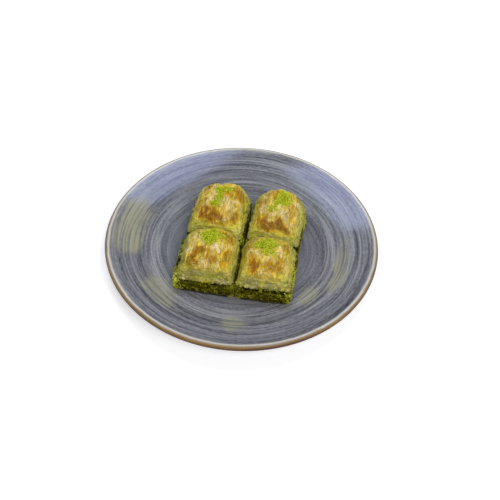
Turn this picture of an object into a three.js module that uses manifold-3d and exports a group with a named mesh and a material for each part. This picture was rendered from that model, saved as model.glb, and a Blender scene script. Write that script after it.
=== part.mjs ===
// A stoneware dessert plate with four square pieces of pistachio baklava
// Millimetres, +Z up, with the origin on the table under the middle of the plate

import * as THREE from 'three';
import { mergeVertices } from 'three/addons/utils/BufferGeometryUtils.js';
import Module from 'manifold-3d';

const wasm = await Module();
wasm.setup();

// Plate: a shallow coupe with a rolled lip and a turned foot ring
const PLATE_RADIUS = 105;
const PLATE_HEIGHT = 17;
const PLATE_SIDES = 64;
const LIP_RADIUS = 2.5;
const LIP_STEPS = 6;
const LIP_START = THREE.MathUtils.degToRad(-90);
const LIP_END = THREE.MathUtils.degToRad(90);
const WELL_HEIGHT = 8.2;
const WELL_RADIUS = 50;
const WELL_CURVE = 1.6;
const WELL_STEPS = 7;
const UNDERSIDE_HEIGHT = 2.6;
const UNDERSIDE_CURVE = 1.4;
const UNDERSIDE_STEPS = 5;
const FOOT_INNER_RADIUS = 56;
const FOOT_OUTER_RADIUS = 61;
const FOOT_CHAMFER = 0.6;
const FOOT_RECESS = 2.4;

// Block of four pieces, cut apart but still in their square
const BLOCK_MIDDLE = { x: 2.4, y: -4.6 };
const BLOCK_TURN = THREE.MathUtils.degToRad(-7.6);
const CORNER_POWER = 14;
const TOUCH_GAP = 0.3;

// Layers of a piece, from the plate up
const BASE_THICKNESS = 2.6;
const FILLING_THICKNESS = 8.4;
const BASE_INSET = 0.5;
const RIM_CELLS = 12;
const FILLING_RINGS = 4;
const CRUMB_DEPTH = 0.9;
const BASE_WAVE = 0.25;

// Upper pastry: walls that lean in, a rounded shoulder and a crinkled crown
const PASTRY_CELLS = 16;
const PASTRY_RINGS = 6;
const WALL_LEAN = 5.2;
const LEAN_POWER = 1.3;
const SHOULDER_ROUND = 3.2;
const SHOULDER_POWER = 7;
const CROWN_INSET = WALL_LEAN + SHOULDER_ROUND;
const CROWN_CORNERS = 4;
const CROWN_SHIFT = 1.8;
const CROWN_POWER = 2.6;
const SIDE_FALL = 0.9;
const END_FALL = 0.5;
const RING_CROWDING = 1.6;
const LEAF_DEPTH = 0.35;
const LEAF_START = 0.5;

// Crinkle of the crown, in millimetres and in radians for each millimetre
const FLUTE_PITCH = 6.6;
const FLUTE_DEPTH = 0.55;
const FLUTE_FAN = 0.006;
const SWAY_REACH = 1.5;
const SWAY_RATE = 0.12;
const FADE_SHARE = 0.35;
const FADE_RATE_ACROSS = 0.17;
const FADE_RATE_AWAY = 0.31;
const DENT_DEPTH = 0.6;
const DENT_LENGTH = 9;

// Ground pistachio scattered on the crowns
const GRAIN_RADIUS = 1.05;
const GRAIN_SPREAD = 0.35;
const GRAIN_SINK = 0.25;

// The pieces, as uneven as they were cut and baked. A piece's middle is given from the
// block's, its pastry's from the piece's, and a lift of the crown's and a clump of ground
// pistachio's from the pastry's. Sizes are full widths, and halves are half widths, across
// and away.
const PIECES = [
  {
    name: 'front_left', at: [-24.2, -24.5], size: [46.2, 45.6], seed: 11,
    pastry: { at: [0.8, 0.9], size: [41.8, 40.6], turn: 0 },
    shoulder: 15, backRise: 2, peak: 19.6,
    lifts: [{ at: [7, 11.5], half: [11, 9], height: 3 }],
    clumps: [{ at: [0.5, 8], half: [7.5, 4], grains: 18 }],
  },
  {
    name: 'front_right', at: [21.2, -24.2], size: [41.2, 46.6], seed: 23,
    pastry: { at: [-0.9, 1.9], size: [39.2, 41], turn: 1.2 },
    shoulder: 13.6, backRise: 1.4, peak: 17.3,
    lifts: [],
    clumps: [{ at: [-1.5, 8], half: [6, 4], grains: 18 }],
  },
  {
    name: 'back_left', at: [-23.6, 22.2], size: [44.2, 45], seed: 37,
    pastry: { at: [0, 0.4], size: [41.8, 41.2], turn: -2 },
    shoulder: 15.8, backRise: 3.5, peak: 21.8,
    lifts: [{ at: [8.5, 11.5], half: [11, 10], height: 4.2 }],
    clumps: [
      { at: [0.5, 7.5], half: [4, 2.5], grains: 9 },
      { at: [-0.5, -4], half: [3.5, 3], grains: 8 },
    ],
  },
  {
    name: 'back_right', at: [21, 22.9], size: [40.8, 45], seed: 53,
    pastry: { at: [0, 0.7], size: [39.6, 40.8], turn: -1 },
    shoulder: 15.6, backRise: 3.2, peak: 21.2,
    lifts: [{ at: [0, 12.5], half: [13, 9], height: 2.8 }],
    clumps: [
      { at: [1, 8], half: [6, 3.5], grains: 14 },
      { at: [-4.5, -3], half: [2.5, 2.5], grains: 4 },
    ],
  },
];

const MATERIALS = {
  glaze: { color: 0x6c6e7a, roughness: 0.25, metalness: 0 },
  base: { color: 0x7f8a2c, roughness: 0.6, metalness: 0 },
  filling: { color: 0x4d5612, roughness: 0.85, metalness: 0 },
  pastry: { color: 0xc09a3a, roughness: 0.4, metalness: 0 },
};

// Repeatable random numbers between 0 and 1
function seededRandom(seed) {
  let state = seed;
  return () => {
    state = (state + 0x6d2b79f5) | 0;
    let mixed = Math.imul(state ^ (state >>> 15), 1 | state);
    mixed = (mixed + Math.imul(mixed ^ (mixed >>> 7), 61 | mixed)) ^ mixed;
    return ((mixed ^ (mixed >>> 14)) >>> 0) / 2 ** 32;
  };
}

function material(name) {
  return new THREE.MeshStandardMaterial(MATERIALS[name]);
}

function indexedGeometry(points, triangles) {
  const geometry = new THREE.BufferGeometry();
  geometry.setAttribute('position', new THREE.Float32BufferAttribute(points.flat(), 3));
  geometry.setIndex(triangles);
  return geometry;
}

// Plate

function lipPoint(angle) {
  const centreRadius = PLATE_RADIUS - LIP_RADIUS;
  const centreHeight = PLATE_HEIGHT - LIP_RADIUS;
  return [
    centreRadius + LIP_RADIUS * Math.cos(angle),
    centreHeight + LIP_RADIUS * Math.sin(angle),
  ];
}

// Height of the well's surface above the table
function wellHeight(radius) {
  const [endRadius, endHeight] = lipPoint(LIP_END);
  const along = Math.max(0, (radius - WELL_RADIUS) / (endRadius - WELL_RADIUS));
  return WELL_HEIGHT + (endHeight - WELL_HEIGHT) * Math.pow(along, WELL_CURVE);
}

function wellProfile() {
  const points = [];
  const endRadius = lipPoint(LIP_END)[0];
  for (let step = 1; step <= WELL_STEPS; step += 1) {
    const radius = endRadius + (WELL_RADIUS - endRadius) * (step / WELL_STEPS);
    points.push([radius, wellHeight(radius)]);
  }
  return points;
}

function undersideProfile() {
  const points = [];
  const [endRadius, endHeight] = lipPoint(LIP_START);
  const startRadius = FOOT_OUTER_RADIUS + 2 * FOOT_CHAMFER;
  for (let step = 0; step < UNDERSIDE_STEPS; step += 1) {
    const along = step / UNDERSIDE_STEPS;
    const rise = (endHeight - UNDERSIDE_HEIGHT) * Math.pow(along, UNDERSIDE_CURVE);
    points.push([startRadius + (endRadius - startRadius) * along, UNDERSIDE_HEIGHT + rise]);
  }
  return points;
}

function lipProfile() {
  const points = [];
  for (let step = 0; step <= LIP_STEPS; step += 1) {
    points.push(lipPoint(LIP_START + (LIP_END - LIP_START) * (step / LIP_STEPS)));
  }
  return points;
}

function plateProfile() {
  const foot = [
    [0, FOOT_RECESS],
    [FOOT_INNER_RADIUS - FOOT_CHAMFER, FOOT_RECESS],
    [FOOT_INNER_RADIUS, FOOT_CHAMFER],
    [FOOT_INNER_RADIUS + FOOT_CHAMFER, 0],
    [FOOT_OUTER_RADIUS - FOOT_CHAMFER, 0],
    [FOOT_OUTER_RADIUS, FOOT_CHAMFER],
  ];
  const profile = [...foot, ...undersideProfile(), ...lipProfile(), ...wellProfile()];
  profile.push([0, WELL_HEIGHT]);
  return profile.map(([radius, height]) => new THREE.Vector2(radius, height));
}

function makePlate() {
  const geometry = new THREE.LatheGeometry(plateProfile(), PLATE_SIDES);
  geometry.rotateX(Math.PI / 2);
  const plate = new THREE.Mesh(geometry, material('glaze'));
  plate.name = 'plate';
  return plate;
}

// Cut squares

// A point of the square from -1 to 1, drawn in at the corners as the edge nears
function roundCorners(a, b, power) {
  const edge = Math.max(Math.abs(a), Math.abs(b));
  if (edge === 0) {
    return [0, 0];
  }
  const sum = Math.pow(Math.abs(a) / edge, power) + Math.pow(Math.abs(b) / edge, power);
  const pull = 1 + (Math.pow(sum, -1 / power) - 1) * edge * edge;
  return [a * pull, b * pull];
}

// The rim of that square, counter-clockwise, as grid steps from 0 to cells
function rimSteps(cells) {
  const steps = [];
  for (let side = 0; side < 4; side += 1) {
    for (let step = 0; step < cells; step += 1) {
      const corner = [[step, 0], [cells, step], [cells - step, cells], [0, cells - step]];
      steps.push(corner[side]);
    }
  }
  return steps;
}

// Joins two rings of points, the upper one first
function joinRings(triangles, upper, lower) {
  for (let step = 0; step < upper.length; step += 1) {
    const next = (step + 1) % upper.length;
    triangles.push(upper[step], lower[step], lower[next]);
    triangles.push(upper[step], lower[next], upper[next]);
  }
}

function closeRing(triangles, ring, centre, facesUp) {
  for (let step = 0; step < ring.length; step += 1) {
    const next = (step + 1) % ring.length;
    const pair = facesUp ? [ring[step], ring[next]] : [ring[next], ring[step]];
    triangles.push(centre, pair[0], pair[1]);
  }
}

// A layer of a cut piece: rings from its top edge down, closed flat above and below
function layerGeometry(cells, rings, height, ringPoint) {
  const points = [];
  const triangles = [];
  const rim = rimSteps(cells);
  const levels = [];
  for (let ring = 0; ring < rings; ring += 1) {
    levels.push(rim.map(([i, j], step) => {
      points.push(ringPoint((2 * i) / cells - 1, (2 * j) / cells - 1, ring, step));
      return points.length - 1;
    }));
  }
  for (let ring = 1; ring < rings; ring += 1) {
    joinRings(triangles, levels[ring - 1], levels[ring]);
  }
  points.push([0, 0, height]);
  closeRing(triangles, levels[0], points.length - 1, true);
  points.push([0, 0, 0]);
  closeRing(triangles, levels[rings - 1], points.length - 1, false);
  return indexedGeometry(points, triangles);
}

// Distance of a place in a piece from the plate's middle
function plateRadius(piece, x, y) {
  const place = new THREE.Vector2(piece.at[0] + x, piece.at[1] + y);
  place.rotateAround(new THREE.Vector2(0, 0), BLOCK_TURN);
  return Math.hypot(place.x + BLOCK_MIDDLE.x, place.y + BLOCK_MIDDLE.y);
}

// Thin soaked pastry, whose underside has settled to the curve of the plate
function baseGeometry(piece) {
  const random = seededRandom(piece.seed);
  return layerGeometry(RIM_CELLS, 2, BASE_THICKNESS, (a, b, ring) => {
    const [u, v] = roundCorners(a, b, CORNER_POWER);
    const inset = BASE_INSET + BASE_WAVE * (random() * 2 - 1);
    const x = u * (piece.size[0] / 2 - inset);
    const y = v * (piece.size[1] / 2 - inset);
    const settled = wellHeight(plateRadius(piece, x, y)) - WELL_HEIGHT;
    return [x, y, ring === 0 ? BASE_THICKNESS : settled];
  });
}

// Packed ground pistachio, with crumbs that stand out of the cut sides
function fillingGeometry(piece) {
  const random = seededRandom(piece.seed + 1);
  return layerGeometry(RIM_CELLS, FILLING_RINGS, FILLING_THICKNESS, (a, b, ring) => {
    const [u, v] = roundCorners(a, b, CORNER_POWER);
    const inset = CRUMB_DEPTH * (random() - 0.5);
    return [
      u * (piece.size[0] / 2 - inset),
      v * (piece.size[1] / 2 - inset),
      FILLING_THICKNESS * (1 - ring / (FILLING_RINGS - 1)),
    ];
  });
}

// Upper pastry

// Flutes that run from the crown down to the front, and broad dents between them
function crinkle(piece, x, y) {
  const sway = SWAY_REACH * Math.sin(y * SWAY_RATE + piece.seed);
  const across = x * (1 + y * FLUTE_FAN) + sway;
  const flute = Math.sin((2 * Math.PI * across) / FLUTE_PITCH + piece.seed);
  const wave = Math.sin(y * FADE_RATE_AWAY + x * FADE_RATE_ACROSS + piece.seed * 2);
  const fade = 1 - FADE_SHARE + FADE_SHARE * wave;
  const dent = Math.sin(x / DENT_LENGTH + piece.seed) * Math.sin(y / DENT_LENGTH - piece.seed);
  return FLUTE_DEPTH * flute * fade + DENT_DEPTH * dent;
}

// Height that the crown's lifts add at a place
function liftHeight(piece, x, y) {
  return piece.lifts.reduce((height, lift) => {
    const reach = Math.hypot((x - lift.at[0]) / lift.half[0], (y - lift.at[1]) / lift.half[1]);
    return height + lift.height * THREE.MathUtils.smoothstep(1 - reach, 0, 1);
  }, 0);
}

// Place on the crown, from the square's -1 to 1 to millimetres above the pastry's foot
function crownPoint(piece, a, b) {
  const [u, v] = roundCorners(a, b, CROWN_CORNERS);
  const x = u * (piece.pastry.size[0] / 2 - CROWN_INSET);
  const y = v * (piece.pastry.size[1] / 2 - CROWN_INSET);
  const sideFall = SIDE_FALL * Math.pow(Math.abs(a), CROWN_POWER);
  const endFall = END_FALL * Math.pow(Math.abs(b), CROWN_POWER);
  const rise = (piece.peak - piece.shoulder) * (1 - sideFall - endFall);
  const height = piece.shoulder + rise + piece.backRise * b + crinkle(piece, x, y);
  return [x, y + CROWN_SHIFT, height + liftHeight(piece, x, y + CROWN_SHIFT)];
}

// Place on the leaning wall, where along runs from the shoulder's 0 to the foot's 1
function wallPoint(piece, a, b, along, leaf) {
  const level = 1 - Math.pow(along, RING_CROWDING);
  const power = CROWN_CORNERS + (CORNER_POWER - CROWN_CORNERS) * along;
  const lean = WALL_LEAN * Math.pow(level, LEAN_POWER);
  const inset = lean + SHOULDER_ROUND * Math.pow(level, SHOULDER_POWER) - leaf;
  const [u, v] = roundCorners(a, b, power);
  const top = crownPoint(piece, a, b)[2];
  const [width, depth] = piece.pastry.size;
  return [u * (width / 2 - inset), v * (depth / 2 - inset) + CROWN_SHIFT * level, top * level];
}

function pastryGeometry(piece) {
  const points = [];
  const triangles = [];
  const grid = [];
  const random = seededRandom(piece.seed + 2);
  const unit = (step) => (2 * step) / PASTRY_CELLS - 1;
  for (let i = 0; i <= PASTRY_CELLS; i += 1) {
    grid.push([]);
    for (let j = 0; j <= PASTRY_CELLS; j += 1) {
      grid[i].push(points.length);
      points.push(crownPoint(piece, unit(i), unit(j)));
    }
  }
  for (let i = 0; i < PASTRY_CELLS; i += 1) {
    for (let j = 0; j < PASTRY_CELLS; j += 1) {
      const corners = [grid[i][j], grid[i + 1][j], grid[i + 1][j + 1], grid[i][j + 1]];
      const first = (i < PASTRY_CELLS / 2) === (j < PASTRY_CELLS / 2) ? 1 : 0;
      const [p, q, r, t] = [0, 1, 2, 3].map((step) => corners[(first + step) % 4]);
      triangles.push(p, q, r, p, r, t);
    }
  }
  const rim = rimSteps(PASTRY_CELLS);
  let upper = rim.map(([i, j]) => grid[i][j]);
  for (let ring = 1; ring <= PASTRY_RINGS; ring += 1) {
    const along = ring / PASTRY_RINGS;
    const lower = rim.map(([i, j]) => {
      const leaf = LEAF_DEPTH * (random() - (ring % 2)) * Math.min(1, along / LEAF_START);
      points.push(wallPoint(piece, unit(i), unit(j), along, leaf));
      return points.length - 1;
    });
    joinRings(triangles, upper, lower);
    upper = lower;
  }
  points.push([0, 0, 0]);
  closeRing(triangles, upper, points.length - 1, false);
  return indexedGeometry(points, triangles);
}

// Ground pistachio

function grainGeometry(random, place) {
  const grain = new THREE.IcosahedronGeometry(GRAIN_RADIUS, 0);
  const stretch = () => 1 + GRAIN_SPREAD * (random() * 2 - 1);
  grain.scale(stretch(), stretch(), stretch());
  grain.rotateX(random() * Math.PI);
  grain.rotateZ(random() * Math.PI);
  grain.translate(place[0], place[1], place[2] - GRAIN_SINK);
  return grain;
}

// Grains of one piece, spread over its clumps and laid on its crown
function grainGeometries(piece) {
  const random = seededRandom(piece.seed + 3);
  const [width, depth] = piece.pastry.size;
  const grains = [];
  for (const clump of piece.clumps) {
    for (let count = 0; count < clump.grains; count += 1) {
      const angle = random() * Math.PI * 2;
      const reach = Math.sqrt(random());
      const x = clump.at[0] + clump.half[0] * reach * Math.cos(angle);
      const y = clump.at[1] + clump.half[1] * reach * Math.sin(angle) - CROWN_SHIFT;
      const place = crownPoint(piece, x / (width / 2 - CROWN_INSET), y / (depth / 2 - CROWN_INSET));
      grains.push(grainGeometry(random, place));
    }
  }
  return grains;
}

// Joining solids

function toSolid(geometry) {
  const bare = geometry.clone();
  bare.deleteAttribute('normal');
  bare.deleteAttribute('uv');
  const merged = mergeVertices(bare);
  return new wasm.Manifold(new wasm.Mesh({
    numProp: 3,
    vertProperties: new Float32Array(merged.attributes.position.array),
    triVerts: new Uint32Array(merged.index.array),
  }));
}

function fromSolid(solid) {
  const mesh = solid.getMesh();
  const geometry = new THREE.BufferGeometry();
  geometry.setAttribute('position', new THREE.BufferAttribute(mesh.vertProperties, 3));
  geometry.setIndex(new THREE.BufferAttribute(mesh.triVerts, 1));
  return geometry;
}

function joined(geometry, others) {
  let solid = toSolid(geometry);
  for (const other of others) {
    solid = solid.add(toSolid(other));
  }
  return fromSolid(solid);
}

// Assembly

function makeLayer(piece, layer, geometry, height) {
  const mesh = new THREE.Mesh(geometry, material(layer));
  mesh.name = `${piece.name}_${layer}`;
  mesh.position.z = height;
  return mesh;
}

function makePiece(piece) {
  const group = new THREE.Group();
  const baseHeight = WELL_HEIGHT + TOUCH_GAP;
  const fillingHeight = baseHeight + BASE_THICKNESS + TOUCH_GAP;
  const pastryHeight = fillingHeight + FILLING_THICKNESS + TOUCH_GAP;
  const crown = joined(pastryGeometry(piece), grainGeometries(piece));
  const pastry = makeLayer(piece, 'pastry', crown, pastryHeight);
  pastry.position.x = piece.pastry.at[0];
  pastry.position.y = piece.pastry.at[1];
  pastry.rotation.z = THREE.MathUtils.degToRad(piece.pastry.turn);
  group.add(makeLayer(piece, 'base', baseGeometry(piece), baseHeight));
  group.add(makeLayer(piece, 'filling', fillingGeometry(piece), fillingHeight));
  group.add(pastry);
  group.position.set(piece.at[0], piece.at[1], 0);
  return group;
}

function makeBlock() {
  const block = new THREE.Group();
  block.position.set(BLOCK_MIDDLE.x, BLOCK_MIDDLE.y, 0);
  block.rotation.z = BLOCK_TURN;
  for (const piece of PIECES) {
    block.add(makePiece(piece));
  }
  return block;
}

const model = new THREE.Group();
model.add(makePlate());
model.add(makeBlock());

export default model;
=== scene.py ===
"""A plate of pistachio baklava: four cut pieces of soaked leaf pastry on a stoneware dessert plate.

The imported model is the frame. Every solid of the food is replaced by a fine mesh of the same form,
worked out from the same sizes, and ground pistachio, torn leaves and crumbs lie on them.
"""

import math
from dataclasses import dataclass

import bpy
import numpy as np
from bpy.props import FloatProperty, FloatVectorProperty, PointerProperty
from mathutils import Color, Matrix, Vector


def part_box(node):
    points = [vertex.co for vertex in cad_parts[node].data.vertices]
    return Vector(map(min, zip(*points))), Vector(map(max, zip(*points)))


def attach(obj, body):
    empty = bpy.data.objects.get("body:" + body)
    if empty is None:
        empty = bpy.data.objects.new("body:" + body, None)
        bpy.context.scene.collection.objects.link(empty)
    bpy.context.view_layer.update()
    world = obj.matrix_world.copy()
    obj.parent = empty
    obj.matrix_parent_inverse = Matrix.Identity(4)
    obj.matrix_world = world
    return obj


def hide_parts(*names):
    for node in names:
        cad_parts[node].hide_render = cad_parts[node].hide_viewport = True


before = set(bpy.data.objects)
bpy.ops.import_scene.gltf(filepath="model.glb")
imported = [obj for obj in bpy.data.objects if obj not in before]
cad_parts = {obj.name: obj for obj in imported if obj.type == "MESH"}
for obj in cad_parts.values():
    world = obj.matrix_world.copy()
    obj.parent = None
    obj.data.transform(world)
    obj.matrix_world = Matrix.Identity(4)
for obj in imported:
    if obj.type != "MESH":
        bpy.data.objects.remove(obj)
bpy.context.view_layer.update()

bl_info = {
    "name": "Plate of baklava",
    "version": (1, 0, 0),
    "blender": (4, 5, 0),
    "location": "View3D > Sidebar > Baklava",
    "description": "Makes four pieces of pistachio baklava on a stoneware plate",
    "category": "Add Mesh",
}

MM = 0.001
BODY = "root"

# Sizes that the solids of the frame give, in millimetres
PLATE_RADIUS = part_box("plate")[1].x / MM
PLATE_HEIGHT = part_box("plate")[1].z / MM
BASE_FOOT = 8.5
FILLING_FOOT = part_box("front_left_filling")[0].z / MM
FILLING_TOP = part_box("front_left_filling")[1].z / MM
PASTRY_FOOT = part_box("front_left_pastry")[0].z / MM

# Form of the plate, in millimetres
LIP_RADIUS = 2.5
WELL_HEIGHT = 8.2
WELL_RADIUS = 50
WELL_CURVE = 1.6
UNDERSIDE_HEIGHT = 2.6
UNDERSIDE_CURVE = 1.4
FOOT_INNER_RADIUS = 56
FOOT_OUTER_RADIUS = 61
FOOT_CHAMFER = 0.6
FOOT_RECESS = 2.4

# Form of the block and of a piece, in millimetres
BLOCK_MIDDLE = (2.4, -4.6)
BLOCK_TURN = math.radians(-7.6)
CORNER_POWER = 14
BASE_THICKNESS = 2.6
BASE_INSET = 0.5
TOUCH_GAP = 0.3
WALL_LEAN = 5.2
LEAN_POWER = 1.3
SHOULDER_ROUND = 3.2
SHOULDER_POWER = 7
WALL_POWER = 0.625
SIDE_POWER = 8
SIDE_BLEND = 0.05
CROWN_INSET = WALL_LEAN + SHOULDER_ROUND
CROWN_CORNERS = 4
CROWN_SHIFT = 1.8
CROWN_POWER = 2.6
SIDE_FALL = 0.9
END_FALL = 0.5
FLUTE_PITCH = 6.6
FLUTE_DEPTH = 0.55
FLUTE_FAN = 0.006
SWAY_REACH = 1.5
SWAY_RATE = 0.12
FADE_SHARE = 0.35
FADE_RATE_ACROSS = 0.17
FADE_RATE_AWAY = 0.31
DENT_DEPTH = 0.6
DENT_LENGTH = 9


@dataclass
class Spot:
    """An oval place, by its middle, its half sizes and its strength, on a piece or on the plate."""
    x: float
    y: float
    half_width: float
    half_length: float
    strength: float = 1.0


def spots(*rows):
    """Ovals, each from one row of numbers."""
    return [Spot(*row) for row in rows]


@dataclass
class Piece:
    """One cut piece, placed from the middle of the block, and its pastry from the piece's."""
    name: str
    at: tuple
    size: tuple
    seed: int
    pastry_at: tuple
    pastry_size: tuple
    turn: float
    shoulder: float
    back_rise: float
    peak: float
    clumps: list
    browned: list
    # Places painted cream: partly dry lifted leaves, partly painted highlights of the syrup
    lifted: list
    spilt: list
    overhang: tuple
    lifts: list | tuple = ()
    torn: list | tuple = ()
    # Painted light on the lower front walls: above 0 lighter, below 0 darker as painted shade
    painted_wall_light: float = 0.0


PIECES = (
    Piece(
        "front_left", at=(-24.2, -24.5), size=(46.2, 45.6), seed=11, pastry_at=(0.8, 0.9), pastry_size=(41.8, 40.6),
        turn=0, shoulder=15, back_rise=2, peak=19.6, overhang=(1.0, 0.0, 1.2, 0.0), painted_wall_light=-0.42,
        clumps=spots((-0.5, 6.5, 7.5, 6.8), (7.5, 8, 5, 3, 0.8), (7, -29, 4.5, 3, 0.12)),
        browned=spots(
            (-12, -13, 5, 7, 0.95), (-8.5, -17.5, 3.5, 5, 0.8), (-6, -5, 6, 3, 0.85), (3.5, -11.5, 5, 5.5, 0.65),
            (-2.5, -20, 2, 5, 0.6), (13, -14, 3, 7, 0.5), (17, -4, 7, 6, 0.7), (15.5, 10, 8, 4.5, 0.85),
            (6, 11, 5, 4, 0.4),
        ),
        lifted=spots(
            (-14, -3, 4, 4, 1.0), (-12, 6, 6, 6, 0.5), (-5, 0.5, 2, 2.5, 0.85), (4.5, -2, 3, 3.6, 1.0),
            (9, -2, 2.2, 4, 0.9), (9.5, -14, 2, 7, 0.7), (0, -17, 9, 6, 0.6), (17, 4, 6, 3, 0.4),
        ),
        spilt=spots((-22, -14, 4, 9, 0.25), (-22, 8, 3, 9, 0.3), (-22, -22, 5, 5, 0.25)),
        lifts=spots((7, 11.5, 11, 9, 3.0)),
        torn=spots((-22, -22, 7, 7, 0.4)),
    ),
    Piece(
        "front_right", at=(21.2, -24.2), size=(41.2, 46.6), seed=23, pastry_at=(-0.9, 1.9), pastry_size=(39.2, 41),
        turn=1.2, shoulder=13.6, back_rise=1.4, peak=17.3, overhang=(0.6, 0.6, 1.4, 0.0), painted_wall_light=-0.42,
        clumps=spots((-1, 7.2, 8, 6.2), (0.5, 2, 5, 4.5, 0.7), (6, -2, 3, 3, 0.2)),
        browned=spots(
            (-8.5, -13, 4, 8.5, 1.0), (3, -12, 6, 6.5, 0.7), (-13, -3, 4, 5, 0.6), (11, -7, 5, 7, 0.55),
            (-23, 8, 9, 11, 0.65), (14, 9.5, 5, 4, 0.75), (-14, -9, 5, 6, 0.4), (-3, 17, 8, 5, 0.2),
        ),
        lifted=spots(
            (-13.5, 2, 3.2, 4.6, 1.0), (-5, -3.5, 2.6, 4.8, 0.95), (8.5, 6.5, 2.4, 4, 0.8), (3, -4, 5, 3.5, 0.65),
            (8, 1, 4, 1.8, 0.7), (-1, -17, 7, 5, 0.6), (17, -10, 6, 8, 0.4), (-13, 16, 6, 6, 0.35),
        ),
        spilt=spots((19.5, -4, 3, 14, 0.4), (19, -20, 4, 5, 0.2)),
    ),
    Piece(
        "back_left", at=(-23.6, 22.2), size=(44.2, 45), seed=37, pastry_at=(0, 0.4), pastry_size=(41.8, 41.2),
        turn=-2, shoulder=15.8, back_rise=3.5, peak=21.8, overhang=(0.8, 0.0, 0.4, 0.5), painted_wall_light=0.3,
        clumps=spots((-1, 7, 4.5, 4.2), (4.5, 7.5, 4.5, 2.8, 0.8), (-1, 1, 2.8, 5, 0.8), (-2, -3.5, 4.5, 3.2)),
        browned=spots(
            (-11, -11.5, 4.5, 7.5, 1.0), (-3, -15, 6, 7.5, 1.05), (5.5, -17, 4, 6, 0.8), (13, -12.5, 3, 4.5, 0.7),
            (-17.5, -3, 5, 6, 0.7), (-12, 12, 4, 7, 0.55), (17, 9, 7.5, 6, 0.9), (18, -7.5, 6, 3, 0.5),
            (5, 4, 5, 3, 0.55),
        ),
        lifted=spots(
            (4, -4.5, 2.8, 7, 0.95), (10, -6, 1.9, 9, 1.0), (7, -3, 4.5, 6, 0.6), (14, 3, 5, 2.4, 0.75),
            (-7, 6, 3, 7, 0.6), (6.5, -15.5, 2, 5, 0.8), (-9, -3, 5, 3.5, 0.65), (18, 0, 7, 4, 0.35),
            (-22, 8, 7, 9, 0.3),
        ),
        spilt=spots((21, -20, 4, 4, 0.3)),
        lifts=spots((8.5, 11.5, 11, 10, 4.2)),
    ),
    Piece(
        "back_right", at=(21, 22.9), size=(40.8, 45), seed=53, pastry_at=(0, 0.7), pastry_size=(39.6, 40.8),
        turn=-1, shoulder=15.6, back_rise=3.2, peak=21.2, overhang=(0.0, 0.5, 0.4, 0.5), painted_wall_light=0.3,
        clumps=spots((3.5, 7, 5.2, 6.5), (5, 2.5, 3.5, 3, 0.9), (-4, -3, 4.5, 3.4, 0.5), (-1, 1, 2.4, 4, 0.5)),
        browned=spots(
            (-11, -11.5, 5, 6.5, 0.85), (-4.5, -18.5, 6.5, 6.5, 1.05), (3.5, -14, 5.5, 7.5, 1.0),
            (8.5, -18, 4.5, 6, 1.0), (-17, 5, 7, 4, 0.6), (11.5, 0, 3, 6, 0.5), (-4, 9, 3, 6, 0.4),
            (15, 14, 6, 4, 0.5),
        ),
        lifted=spots(
            (5, -5.5, 5, 4.5, 1.0), (-10, -1, 5, 5, 0.6), (17, 8, 8, 3, 0.75), (8.5, -8, 1.8, 4, 0.8),
            (-8, -8, 5, 2, 0.6), (13, -11, 1.8, 6, 0.7), (-5.5, -14, 1.5, 5, 0.7), (-12, 13, 6, 7, 0.4),
            (1, -1.5, 3, 2.5, 0.6),
        ),
        spilt=spots((20, 10, 3, 9, 0.6), (-19, -21, 4, 4, 0.4)),
        lifts=spots((0, 12.5, 13, 9, 2.8)),
    ),
)


# Sizes and colours that a user would change

def length(name, description, millimetres):
    """A length property, given in millimetres and kept in metres."""
    return FloatProperty(name=name, description=description, default=millimetres * MM, min=0, unit="LENGTH")


def colour(name, description, *screen):
    """A colour property, given as screen values from 0 to 255 and kept as light."""
    light = Color([value / 255 for value in screen]).from_srgb_to_scene_linear()
    return FloatVectorProperty(
        name=name, description=description, default=tuple(light), size=3, min=0, max=1, subtype="COLOR",
    )


def share(name, description, default):
    """A plain number property."""
    return FloatProperty(name=name, description=description, default=default, min=0)


class PlateSettings(bpy.types.PropertyGroup):
    """Stoneware plate"""
    ring_pitch: length("Ring pitch", "Distance between two turned rings of the well", 6.5)
    ring_depth: length("Ring depth", "Height of a turned ring", 0.02)
    glaze: colour("Glaze", "Blue-grey ground of the glaze", 129, 129, 134)
    line: colour("Lines", "Dark lines that the brush leaves", 76, 76, 86)
    stroke: colour("Stroke", "Pale brush strokes in the glaze", 180, 180, 182)
    warm: colour("Warm patches", "Places where the glaze lets the clay through", 178, 174, 144)
    clay: colour("Clay", "Bare clay of the lip and foot ring", 158, 126, 70)
    # Clay under the lip, darkened downwards as painted shade
    shaded_clay: colour("Dark clay", "Clay under the lip", 78, 48, 6)
    crest: colour("Crest", "Thin glaze on the crest of the lip", 232, 226, 212)
    speck: colour("Specks", "Iron specks in the glaze", 40, 38, 44)


class PastrySettings(bpy.types.PropertyGroup):
    """Upper pastry"""
    crinkle_depth: length("Crinkle depth", "Height of the crinkles in the top leaves", 0.8)
    leaf_pitch: length("Leaf pitch", "Thickness of a bunch of leaves at the cut sides", 1.7)
    leaf_depth: length("Leaf depth", "How far a bunch of leaves stands out of the cut sides", 0.36)
    foot_flare: length("Foot flare", "How far the lowest leaves stand out over the filling", 1.3)
    flake_size: length("Flake size", "Mean radius of a torn leaf", 1.3)
    flake_density: share("Flake density", "Most torn leaves on each square millimetre", 0.5)
    pale: colour("Pale leaves", "Soaked leaves at the cut sides", 206, 198, 74)
    faded: colour("Faded leaves", "Dull leaves close to the filling", 190, 186, 112)
    golden: colour("Golden leaves", "Baked leaves of the top", 234, 200, 68)
    amber: colour("Amber leaves", "Darker baked leaves of the top", 216, 166, 8)
    brown: colour("Browned leaves", "Darkest patches of the top", 166, 108, 0)
    # Cream is partly dry leaves and partly painted highlights of the syrup
    cream_and_highlight: colour("Lifted leaves", "Dry edges that stand off the top", 255, 230, 170)
    # Painted shade in the creases, gaps and at the foot of the pastry
    crease_shade: colour("Creases", "Syrup in the creases between leaves", 110, 94, 8)


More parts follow.
